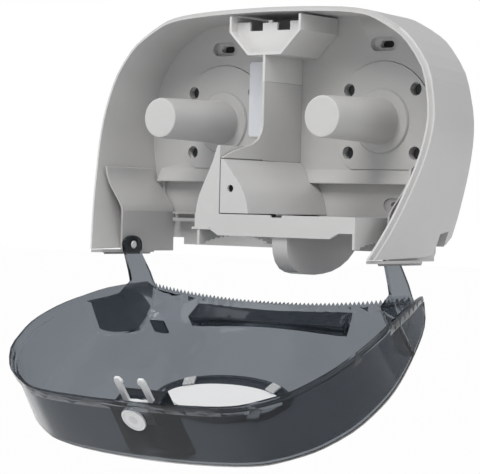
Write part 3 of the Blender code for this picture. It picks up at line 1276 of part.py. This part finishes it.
def lock_spring(parent):
    low = LOCK_LOW + LOCK_WALL + COIL_WIRE + GAP
    high = FORK_LOW - COIL_WIRE - GAP
    count = COIL_TURNS * COIL_POINTS
    line = bpy.data.curves.new("lock_spring", "CURVE")
    line.dimensions = "3D"
    line.bevel_depth = COIL_WIRE
    line.bevel_resolution = 1
    line.use_fill_caps = True
    route = line.splines.new("POLY")
    route.points.add(count)
    for k in range(count + 1):
        angle = math.tau * k / COIL_POINTS
        z = low + (high - low) * k / count
        route.points[k].co = (COIL_RADIUS * math.cos(angle), BUTTON_Y + COIL_RADIUS * math.sin(angle), z, 1.0)
    made = bpy.data.objects.new("lock_spring", line)
    bpy.context.scene.collection.objects.link(made)
    line.materials.append(STEEL)
    made.parent = parent
    return made


# Assembly

back_housing()
spindle(-1)
spindle(1)
spindle_screw(-1)
spindle_screw(1)
fixing_screws(-1)
fixing_screws(1)
center_column()
latch_bracket()
divider_hood()
guide_rail()
detent_spring(-1)
detent_spring(1)
hinge_insert(-1)
hinge_insert(1)
hinge_pin(-1)
hinge_pin(1)
instruction_label()
selector_shutter()
selector_handle()

hinge_axis = bpy.data.objects.new("cover_axis", None)
bpy.context.scene.collection.objects.link(hinge_axis)
hinge_axis.location = (0.0, HINGE_Y, HINGE_Z)
hinge_axis.rotation_euler = (OPEN_ANGLE, 0.0, 0.0)
shut_frame = bpy.data.objects.new("cover_frame", None)
bpy.context.scene.collection.objects.link(shut_frame)
shut_frame.parent = hinge_axis
shut_frame.location = (0.0, -HINGE_Y, -HINGE_Z)

cover_shell(shut_frame)
cover_trough(shut_frame)
cover_tab(shut_frame)
badge_parts(shut_frame)
lock_parts(shut_frame)
latch_fork(shut_frame)
lock_button(shut_frame)
lock_spring(shut_frame)
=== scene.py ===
import math
import bpy
from mathutils import Matrix, Vector


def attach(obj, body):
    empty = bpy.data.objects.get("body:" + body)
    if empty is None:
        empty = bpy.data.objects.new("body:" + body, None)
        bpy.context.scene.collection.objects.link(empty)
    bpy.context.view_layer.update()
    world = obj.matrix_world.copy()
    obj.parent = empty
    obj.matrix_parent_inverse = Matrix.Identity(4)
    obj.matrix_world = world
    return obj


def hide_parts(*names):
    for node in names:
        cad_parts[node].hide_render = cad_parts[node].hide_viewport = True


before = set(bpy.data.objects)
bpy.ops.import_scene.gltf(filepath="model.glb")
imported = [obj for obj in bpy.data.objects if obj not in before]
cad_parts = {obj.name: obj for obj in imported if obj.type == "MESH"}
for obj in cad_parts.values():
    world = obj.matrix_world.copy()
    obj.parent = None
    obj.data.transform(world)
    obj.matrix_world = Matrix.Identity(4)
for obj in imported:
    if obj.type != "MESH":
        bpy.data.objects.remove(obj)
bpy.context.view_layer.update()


# Camera
# A long lens from the right of the open dispenser, level with its spindles, leaning a little
# so that the housing stands in the frame as it does in the photograph.
aim = Vector((-0.0397, -0.0441, -0.1029))
distance = 1.7697
lens_length_mm = 150.1
sensor_width_mm = 36.0
azimuth = math.radians(37.146)
elevation = math.radians(0.932)
lean = math.radians(1.336)
back = Vector((math.sin(azimuth) * math.cos(elevation),
               -math.cos(azimuth) * math.cos(elevation),
               math.sin(elevation)))
level_right = Vector((math.cos(azimuth), math.sin(azimuth), 0.0))
level_up = back.cross(level_right)
right = level_right * math.cos(lean) + level_up * math.sin(lean)
up = level_up * math.cos(lean) - level_right * math.sin(lean)
lens = bpy.data.cameras.new("camera")
lens.lens = lens_length_mm
lens.sensor_width = sensor_width_mm
camera = bpy.data.objects.new("camera", lens)
bpy.context.scene.collection.objects.link(camera)
turn = Matrix((right, up, back)).transposed().to_4x4()
camera.matrix_world = Matrix.Translation(aim + back * distance) @ turn
bpy.context.scene.camera = camera


# Studio
# White surroundings, a pale floor well below the part that keeps its shadow, and three large
# soft lamps: one high in front of it, a weaker one from the left and one from the right.
white = (1.0, 1.0, 1.0, 1.0)
surround_colour = (0.93, 0.94, 0.96, 1.0)
surround_strength = 0.46
floor_width = 30.0
floor_height = -0.62
floor_colour = (0.92, 0.92, 0.92, 1.0)
floor_roughness = 0.8
floor_white_share = 0.975


def feed(tree, value, socket):
    """Link another node's socket into this one, or set it to a plain value."""
    if isinstance(value, bpy.types.NodeSocket):
        tree.links.new(value, socket)
    else:
        socket.default_value = value


def maths(tree, way, *values):
    """Result of a Math node on sockets or plain values."""
    made = tree.nodes.new("ShaderNodeMath")
    made.operation = way
    for value, socket in zip(values, made.inputs):
        feed(tree, value, socket)
    return made.outputs[0]


def rays_of(tree, *kinds):
    """1 for any of these kinds of ray and 0 for the others."""
    path = tree.nodes.new("ShaderNodeLightPath")
    found = path.outputs[kinds[0]]
    for kind in kinds[1:]:
        found = maths(tree, "MAXIMUM", found, path.outputs[kind])
    return found


def show_instead(tree, share, lit, shown, output):
    """Mix a second shader over the lit one and join the mix to the output."""
    mix = tree.nodes.new("ShaderNodeMixShader")
    feed(tree, share, mix.inputs[0])
    feed(tree, lit, mix.inputs[1])
    feed(tree, shown, mix.inputs[2])
    tree.links.new(mix.outputs[0], output.inputs["Surface"])


world = bpy.data.worlds.new("studio")
bpy.context.scene.world = world
world.use_nodes = True
sky = world.node_tree
surround = sky.nodes["Background"]
surround.inputs["Color"].default_value = surround_colour
surround.inputs["Strength"].default_value = surround_strength
paper_white = sky.nodes.new("ShaderNodeBackground")
paper_white.inputs["Color"].default_value = white
show_instead(sky, rays_of(sky, "Is Camera Ray", "Is Transmission Ray"), surround.outputs[0],
             paper_white.outputs[0], sky.nodes["World Output"])

bpy.ops.object.select_all(action="DESELECT")
bpy.ops.mesh.primitive_plane_add(size=floor_width, location=(0.0, 0.0, floor_height))
floor = bpy.context.object
floor.name = "floor"
pale = bpy.data.materials.new("pale_floor")
pale.use_nodes = True
ground = pale.node_tree
lit_floor = ground.nodes["Principled BSDF"]
lit_floor.inputs["Base Color"].default_value = floor_colour
lit_floor.inputs["Roughness"].default_value = floor_roughness
glow = ground.nodes.new("ShaderNodeEmission")
glow.inputs["Color"].default_value = white
seen = rays_of(ground, "Is Camera Ray", "Is Glossy Ray", "Is Transmission Ray")
show_instead(ground, maths(ground, "MULTIPLY", seen, floor_white_share), lit_floor.outputs[0],
             glow.outputs[0], ground.nodes["Material Output"])
floor.data.materials.append(pale)


def soft_lamp(name, place, target, size, power, colour):
    """Large rectangular lamp that faces its target."""
    data = bpy.data.lights.new(name, "AREA")
    data.shape = "RECTANGLE"
    data.size, data.size_y = size
    data.energy = power
    data.color = colour
    lamp = bpy.data.objects.new(name, data)
    bpy.context.scene.collection.objects.link(lamp)
    lamp.location = place
    lamp.rotation_euler = (Vector(target) - Vector(place)).to_track_quat("-Z", "Y").to_euler()


soft_lamp("high_front", place=(0.2, -1.5, 1.6), target=(0.0, -0.05, 0.0), size=(1.4, 1.0),
          power=33.0, colour=(1.0, 0.99, 0.97))
soft_lamp("left_side", place=(-1.6, -1.0, 0.6), target=(0.0, -0.05, -0.05), size=(1.0, 1.4),
          power=9.0, colour=(0.95, 0.97, 1.0))
soft_lamp("right_side", place=(1.8, -0.6, 0.5), target=(0.0, -0.05, -0.05), size=(1.0, 1.4),
          power=10.0, colour=(1.0, 1.0, 1.0))
bpy.context.scene.view_settings.view_transform = "Standard"


# Back housing
# One deep tray with an arched wall, injection moulded in light grey ABS with a fine spark-eroded
# grain. It is screwed to the wall, and everything else is fixed in it.
drift_scale = 9.0
drift_detail = 3.0
grain_detail = 2.0
grain_roughness = 0.6
scuff_stretch = (1.0, 6.0, 2.0)
scuff_turn = (0.4, 0.3, 0.7)
scuff_scale = 60.0
scuff_detail = 4.0
scuff_from = 0.56
scuff_full = 0.72
scuff_roughness = 0.25
scuff_colour = (0.05, 0.05, 0.05, 1.0)
merge_distance = 0.00001
edge_segments = 2
shading_weight = 80


def effect_group(name, inputs, outputs):
    """Empty shader group with named sockets."""
    group = bpy.data.node_groups.new(name, "ShaderNodeTree")
    for label, kind, value in inputs:
        socket = group.interface.new_socket(label, in_out="INPUT", socket_type=kind)
        socket.default_value = value
    for label, kind in outputs:
        group.interface.new_socket(label, in_out="OUTPUT", socket_type=kind)
    return group, group.nodes.new("NodeGroupInput"), group.nodes.new("NodeGroupOutput")


def place_on(tree):
    """Place on the piece, in its own coordinates."""
    return tree.nodes.new("ShaderNodeTexCoord").outputs["Object"]


def noise(tree, spot, scale, detail, roughness=0.5):
    """Noise over places on the piece."""
    made = tree.nodes.new("ShaderNodeTexNoise")
    feed(tree, spot, made.inputs["Vector"])
    feed(tree, scale, made.inputs["Scale"])
    made.inputs["Detail"].default_value = detail
    made.inputs["Roughness"].default_value = roughness
    return made.outputs["Fac"]


def ranged(tree, value, low=0.0, high=1.0, to_low=0.0, to_high=1.0):
    """Value carried from one range to another and kept inside it."""
    made = tree.nodes.new("ShaderNodeMapRange")
    feed(tree, value, made.inputs["Value"])
    made.inputs["From Min"].default_value = low
    made.inputs["From Max"].default_value = high
    made.inputs["To Min"].default_value = to_low
    made.inputs["To Max"].default_value = to_high
    return made.outputs[0]


def mixed_colour(tree, share, first, second, way="MIX"):
    """Colour between two colours, or with the second one added to the first."""
    made = tree.nodes.new("ShaderNodeMix")
    made.data_type = "RGBA"
    made.blend_type = way
    colours = [socket for socket in made.inputs if socket.type == "RGBA"]
    feed(tree, share, made.inputs["Factor"])
    feed(tree, first, colours[0])
    feed(tree, second, colours[1])
    return next(socket for socket in made.outputs if socket.type == "RGBA")


def relief(tree, height, depth, strength=1.0):
    """Bump node that raises the surface by this height."""
    made = tree.nodes.new("ShaderNodeBump")
    made.inputs["Strength"].default_value = strength
    feed(tree, depth, made.inputs["Distance"])
    feed(tree, height, made.inputs["Height"])
    return made


moulded, given, result = effect_group(
    "moulded_plastic",
    (("Colour", "NodeSocketColor", (0.5, 0.5, 0.5, 1.0)),
     ("Drift Colour", "NodeSocketColor", (0.45, 0.45, 0.45, 1.0)),
     ("Roughness", "NodeSocketFloat", 0.4),
     ("Roughness Spread", "NodeSocketFloat", 0.1),
     ("Grain Scale", "NodeSocketFloat", 1800.0),
     ("Grain Depth", "NodeSocketFloat", 0.00002),
     ("Scuffs", "NodeSocketFloat", 0.2)),
    (("Colour", "NodeSocketColor"), ("Roughness", "NodeSocketFloat"), ("Normal", "NodeSocketVector")))
place = place_on(moulded)
drift = noise(moulded, place, drift_scale, drift_detail)
grain = noise(moulded, place, given.outputs["Grain Scale"], grain_detail, grain_roughness)
stretch = moulded.nodes.new("ShaderNodeMapping")
stretch.inputs["Scale"].default_value = scuff_stretch
stretch.inputs["Rotation"].default_value = scuff_turn
feed(moulded, place, stretch.inputs["Vector"])
marks = noise(moulded, stretch.outputs[0], scuff_scale, scuff_detail)
scuffed = maths(moulded, "MULTIPLY", ranged(moulded, marks, scuff_from, scuff_full), given.outputs["Scuffs"])
drifted = maths(moulded, "MULTIPLY_ADD", drift, given.outputs["Roughness Spread"], given.outputs["Roughness"])
rough = maths(moulded, "MULTIPLY_ADD", scuffed, scuff_roughness, drifted)
drift_mix = mixed_colour(moulded, drift, given.outputs["Colour"], given.outputs["Drift Colour"])
scuff_mix = mixed_colour(moulded, scuffed, drift_mix, scuff_colour, "ADD")
feed(moulded, scuff_mix, result.inputs["Colour"])
feed(moulded, rough, result.inputs["Roughness"])
feed(moulded, relief(moulded, grain, given.outputs["Grain Depth"]).outputs[0], result.inputs["Normal"])


def moulded_material(name, colour, drift_colour, roughness, roughness_spread, grain_scale, grain_depth,
                     scuffs, specular=0.5):
    """Principled plastic fed by the moulded plastic group."""
    made = bpy.data.materials.new(name)
    made.use_nodes = True
    tree = made.node_tree
    shader = tree.nodes["Principled BSDF"]
    effect = tree.nodes.new("ShaderNodeGroup")
    effect.name = "moulded"
    effect.node_tree = moulded
    effect.inputs["Colour"].default_value = (*colour, 1.0)
    effect.inputs["Drift Colour"].default_value = (*drift_colour, 1.0)
    effect.inputs["Roughness"].default_value = roughness
    effect.inputs["Roughness Spread"].default_value = roughness_spread
    effect.inputs["Grain Scale"].default_value = grain_scale
    effect.inputs["Grain Depth"].default_value = grain_depth
    effect.inputs["Scuffs"].default_value = scuffs
    tree.links.new(effect.outputs["Colour"], shader.inputs["Base Color"])
    tree.links.new(effect.outputs["Roughness"], shader.inputs["Roughness"])
    tree.links.new(effect.outputs["Normal"], shader.inputs["Normal"])
    shader.inputs["Specular IOR Level"].default_value = specular
    return made


def finished_copy(node, body, material, edge=0.0, curve_angle=28.0, flat_angle=0.3):
    """Merged copy of a CAD node that stands for it.

    Its flat faces are joined, its curves smoothed, and its edges eased where a width is given.
    """
    bpy.ops.object.select_all(action="DESELECT")
    piece = bpy.data.objects.new(node + "_finished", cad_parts[node].data.copy())
    bpy.context.scene.collection.objects.link(piece)
    bpy.context.view_layer.objects.active = piece
    piece.select_set(True)
    bpy.ops.object.mode_set(mode="EDIT")
    bpy.ops.mesh.select_all(action="SELECT")
    bpy.ops.mesh.remove_doubles(threshold=merge_distance)
    bpy.ops.mesh.dissolve_limited(angle_limit=math.radians(flat_angle))
    bpy.ops.object.mode_set(mode="OBJECT")
    if edge:
        ease = piece.modifiers.new("edge", "BEVEL")
        ease.width = edge
        ease.segments = edge_segments
        ease.limit_method = "ANGLE"
        ease.angle_limit = math.radians(curve_angle)
        ease.use_clamp_overlap = True
        bpy.ops.object.modifier_apply(modifier="edge")
    bpy.ops.object.shade_smooth_by_angle(angle=math.radians(curve_angle))
    even = piece.modifiers.new("even_shading", "WEIGHTED_NORMAL")
    even.keep_sharp = True
    even.weight = shading_weight
    bpy.ops.object.modifier_apply(modifier="even_shading")
    piece.data.materials.clear()
    piece.data.materials.append(material)
    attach(piece, body)
    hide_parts(node)
    return piece


grey_abs = moulded_material(
    "grey_abs", colour=(0.525, 0.522, 0.515), drift_colour=(0.485, 0.483, 0.478), roughness=0.32,
    roughness_spread=0.12, grain_scale=2200.0, grain_depth=0.000012, scuffs=0.25)
housing = finished_copy("back_housing", "root", grey_abs, curve_angle=20.0)

# The screw slots are painted dark. The CAD node keeps a thin skin there, and these faces of it get a
# near-black material, a painted shade for the shadowed gap in each slot.
upper_slot_x, upper_slot_z = 0.086, 0.0666
lower_slot_x, lower_slot_z = 0.101, -0.072
slot_half_length = 0.0074
slot_half_height = 0.0032
slot_skin_depth = 0.0012
# Near-black material: painted shade inside the screw slots.
slot_painted_shade = moulded_material(
    "slot_painted_shade", colour=(0.035, 0.036, 0.038), drift_colour=(0.03, 0.031, 0.033), roughness=0.6,
    roughness_spread=0.1, grain_scale=900.0, grain_depth=0.00001, scuffs=0.0, specular=0.2)
housing.data.materials.append(slot_painted_shade)
painted_shade_index = len(housing.data.materials) - 1
slot_places = [(side * x, z) for side in (-1, 1)
               for x, z in ((upper_slot_x, upper_slot_z), (lower_slot_x, lower_slot_z))]
# Skin faces inside the slots get the painted shade.
for face in housing.data.polygons:
    in_slot = any(abs(face.center.x - x) < slot_half_length and abs(face.center.z - z) < slot_half_height
                  for x, z in slot_places)
    if in_slot and -slot_skin_depth < face.center.y < 0.0 and face.normal.y < 0.0:
        face.material_index = painted_shade_index


# Spindles
# Two tapered hollow posts on round flanges, moulded in the same grey ABS as the housing and
# drawn tight from behind by one screw each; a roll core slides over each post.
for side in ("left", "right"):
    finished_copy(f"spindle_{side}", "root", grey_abs)


# Screws
# Zinc-plated pan head screws behind the posts, and black oxide ones sunk in the four holes of
# each flange, which reach through the housing's plate.
turning_scale = 900.0
turning_detail = 3.0
turning_depth = 0.00001
turning_roughness = 0.22
flange_screws = (1, 2, 3, 4)


def metal_material(name, colour, roughness):
    """Plated steel with fine turning marks."""
    made = bpy.data.materials.new(name)
    made.use_nodes = True
    tree = made.node_tree
    shader = tree.nodes["Principled BSDF"]
    shader.inputs["Metallic"].default_value = 1.0
    shader.inputs["Base Color"].default_value = (*colour, 1.0)
    marks = noise(tree, place_on(tree), turning_scale, turning_detail)
    duller = ranged(tree, marks, to_low=roughness, to_high=roughness + turning_roughness)
    tree.links.new(duller, shader.inputs["Roughness"])
    tree.links.new(relief(tree, marks, turning_depth).outputs[0], shader.inputs["Normal"])
    return made


zinc_steel = metal_material("zinc_steel", colour=(0.58, 0.58, 0.60), roughness=0.24)
black_steel = metal_material("black_oxide_steel", colour=(0.06, 0.065, 0.07), roughness=0.34)
for side in ("left", "right"):
    finished_copy(f"spindle_screw_{side}", "root", zinc_steel)
    for number in flange_screws:
        finished_copy(f"fixing_screw_{side}_{number}", "root", black_steel)


# Divider
# Thin upright column with the hood below it, which keep the two rolls apart, and the bracket
# above it that the cover's fork snaps into: three light grey mouldings with eased edges.
divider_edge = 0.0004
finished_copy("center_column", "root", grey_abs, edge=divider_edge)
pale_abs = moulded_material(
    "pale_abs", colour=(0.60, 0.598, 0.59), drift_colour=(0.56, 0.558, 0.553), roughness=0.32,
    roughness_spread=0.10, grain_scale=2200.0, grain_depth=0.000010, scuffs=0.2)
finished_copy("latch_bracket", "root", pale_abs, edge=divider_edge)
hood_abs = moulded_material(
    "hood_abs", colour=(0.53, 0.528, 0.525), drift_colour=(0.49, 0.488, 0.487), roughness=0.24,
    roughness_spread=0.10, grain_scale=2200.0, grain_depth=0.000008, scuffs=0.25)
finished_copy("divider_hood", "root", hood_abs, edge=divider_edge)


# Selector
# Sliding shutter that covers one paper exit, on a guide rail along the plate's foot with two
# bowed steel leaves, and the rounded grip fin below it; all but the leaves are grey ABS.
fin_edge = 0.0006
finished_copy("guide_rail", "root", grey_abs)
for side in ("left", "right"):
    finished_copy(f"detent_spring_{side}", "root", zinc_steel)
finished_copy("selector_shutter", "selector", grey_abs)
fin_abs = moulded_material(
    "fin_abs", colour=(0.47, 0.468, 0.465), drift_colour=(0.43, 0.428, 0.426), roughness=0.30,
    roughness_spread=0.12, grain_scale=2200.0, grain_depth=0.000012, scuffs=0.3)
finished_copy("selector_handle", "selector", fin_abs, edge=fin_edge)


# Hinge inserts and pins
# Waved guide walls pressed into the lobes of the housing, with toothed lower edges, in the fin's
# grey ABS, and short headed pins of white acetal that carry the cover's arms.
acetal_look = {"colour": (0.74, 0.745, 0.75), "drift_colour": (0.70, 0.705, 0.715), "roughness": 0.26,
               "roughness_spread": 0.10, "grain_scale": 1500.0, "grain_depth": 0.000006, "scuffs": 0.1}
white_acetal = moulded_material("white_acetal", **acetal_look)
for side in ("left", "right"):
    finished_copy(f"hinge_insert_{side}", "root", fin_abs)
for side in ("left", "right"):
    finished_copy(f"hinge_pin_{side}", "root", white_acetal)


# Label
# Blank self-adhesive film in a pale blue white, stuck to the housing's plate beside the column.
# Nothing is printed on it.
label_film = moulded_material(
    "label_film", colour=(0.80, 0.82, 0.86), drift_colour=(0.76, 0.78, 0.83), roughness=0.28,
    roughness_spread=0.06, grain_scale=600.0, grain_depth=0.000004, scuffs=0.1)
finished_copy("instruction_label", "root", label_film)


# Cover
# Deep bowl of clear smoke polycarbonate with a toothed tear edge and two hinge arms, one
# glossy injection moulding of even wall that lies open below the housing.
smoke_ior = 1.28
smoke_specular = 0.5
cloud_scale = 14.0
cloud_detail = 1.0
cloud_shade_share = 0.86
wipe_scale = 220.0
wipe_detail = 4.0
wipe_roughness = 0.08
ripple_depth = 0.0002
ripple_strength = 0.10


def smoke_material(name, tint, roughness, clear_share):
    """Clear tinted polycarbonate with a faint flow ripple and fine wiping marks."""
    made = bpy.data.materials.new(name)
    made.use_nodes = True
    tree = made.node_tree
    shader = tree.nodes["Principled BSDF"]
    shader.inputs["Transmission Weight"].default_value = clear_share
    shader.inputs["IOR"].default_value = smoke_ior
    shader.inputs["Specular IOR Level"].default_value = smoke_specular
    spot = place_on(tree)
    cloud = noise(tree, spot, cloud_scale, cloud_detail)
    deeper = [part * cloud_shade_share for part in tint]
    tree.links.new(mixed_colour(tree, cloud, (*tint, 1.0), (*deeper, 1.0)), shader.inputs["Base Color"])
    wipes = noise(tree, spot, wipe_scale, wipe_detail)
    duller = ranged(tree, wipes, to_low=roughness, to_high=roughness + wipe_roughness)
    tree.links.new(duller, shader.inputs["Roughness"])
    tree.links.new(relief(tree, cloud, ripple_depth, ripple_strength).outputs[0], shader.inputs["Normal"])
    return made


smoke = smoke_material("smoke_polycarbonate", tint=(0.20, 0.22, 0.245), roughness=0.04, clear_share=1.0)
finished_copy("cover_shell", "cover", smoke, curve_angle=24.0, flat_angle=0.0)


# Tray and tab in the cover
# Open tray that stiffens the panel above the tear edge and a small upright tab beside it, both
# welded to the cover's inside in a darker smoke.
dark_smoke = smoke_material("dark_smoke", tint=(0.150, 0.170, 0.195), roughness=0.06, clear_share=0.9)
finished_copy("cover_trough", "cover", dark_smoke)
finished_copy("cover_tab", "cover", dark_smoke)


# Badge
# Blank white oval plate seated through the cover's panel, in a dark frame on the inside that
# holds it with four frosted clips.
badge_clips = (1, 2, 3, 4)
finished_copy("badge_ring", "cover", dark_smoke)
finished_copy("badge_disc", "cover", white_acetal)
frosted = smoke_material("clear_clip", tint=(0.72, 0.73, 0.74), roughness=0.22, clear_share=0.45)
for number in badge_clips:
    finished_copy(f"badge_clip_{number}", "cover", frosted)


# Lock
# Dark smoke box under the cover's roof; in it a white forked latch with its press button, which
# a steel coil spring holds up. The spring shortens with the button, so its CAD node is kept.
lock_edge = 0.0003
press_axis = (0.0, 0.794415, 0.607376)
button_radius = 0.0125
ring_depth = 0.0012
ring_shade_colour = (0.46, 0.46, 0.465, 1.0)
centre_height_share = 0.30
ring_shares = ((0.16, 0.55), (0.24, 0.35), (0.34, 0.75), (0.62, 0.92),
               (0.70, 0.55), (0.80, 1.0), (0.94, 0.92))
finished_copy("lock_housing", "cover", dark_smoke)
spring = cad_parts["lock_spring"]
spring.data.materials.clear()
spring.data.materials.append(zinc_steel)
finished_copy("latch_fork", "lock", white_acetal, edge=lock_edge)

# The button's dished middle and turned rings follow the distance from its axis. Each share pair is a part of
# its radius and the height there. The same heights paint shade into its colour: the lower parts are mixed
# towards a darker grey.
button_acetal = moulded_material("button_acetal", **acetal_look)
button = finished_copy("lock_button", "lock", button_acetal, edge=lock_edge)
button_corners = [Vector(corner) for corner in button.bound_box]
button_centre = sum(button_corners, Vector()) / len(button_corners)
button_tree = button_acetal.node_tree
button_shader = button_tree.nodes["Principled BSDF"]
button_effect = button_tree.nodes["moulded"]
from_centre = button_tree.nodes.new("ShaderNodeVectorMath")
from_centre.operation = "SUBTRACT"
from_centre.inputs[1].default_value = button_centre
button_tree.links.new(place_on(button_tree), from_centre.inputs[0])
across_axis = button_tree.nodes.new("ShaderNodeVectorMath")
across_axis.operation = "CROSS_PRODUCT"
across_axis.inputs[1].default_value = press_axis
button_tree.links.new(from_centre.outputs[0], across_axis.inputs[0])
off_axis = button_tree.nodes.new("ShaderNodeVectorMath")
off_axis.operation = "LENGTH"
button_tree.links.new(across_axis.outputs[0], off_axis.inputs[0])
rings = button_tree.nodes.new("ShaderNodeValToRGB")
stops = rings.color_ramp.elements
stops.remove(stops[1])
stops[0].color = (centre_height_share, centre_height_share, centre_height_share, 1.0)
for radius_share, height_share in ring_shares:
    stops.new(radius_share).color = (height_share, height_share, height_share, 1.0)
radius_part = ranged(button_tree, off_axis.outputs["Value"], high=button_radius)
button_tree.links.new(radius_part, rings.inputs["Fac"])
turned = relief(button_tree, rings.outputs["Color"], ring_depth)
button_tree.links.new(button_effect.outputs["Normal"], turned.inputs["Normal"])
button_tree.links.new(turned.outputs[0], button_shader.inputs["Normal"])
# Painted shade: the lower, dished parts of the button are mixed towards grey.
ring_shade_mix = mixed_colour(button_tree, rings.outputs["Color"], ring_shade_colour, button_effect.outputs["Colour"])
button_tree.links.new(ring_shade_mix, button_shader.inputs["Base Color"])
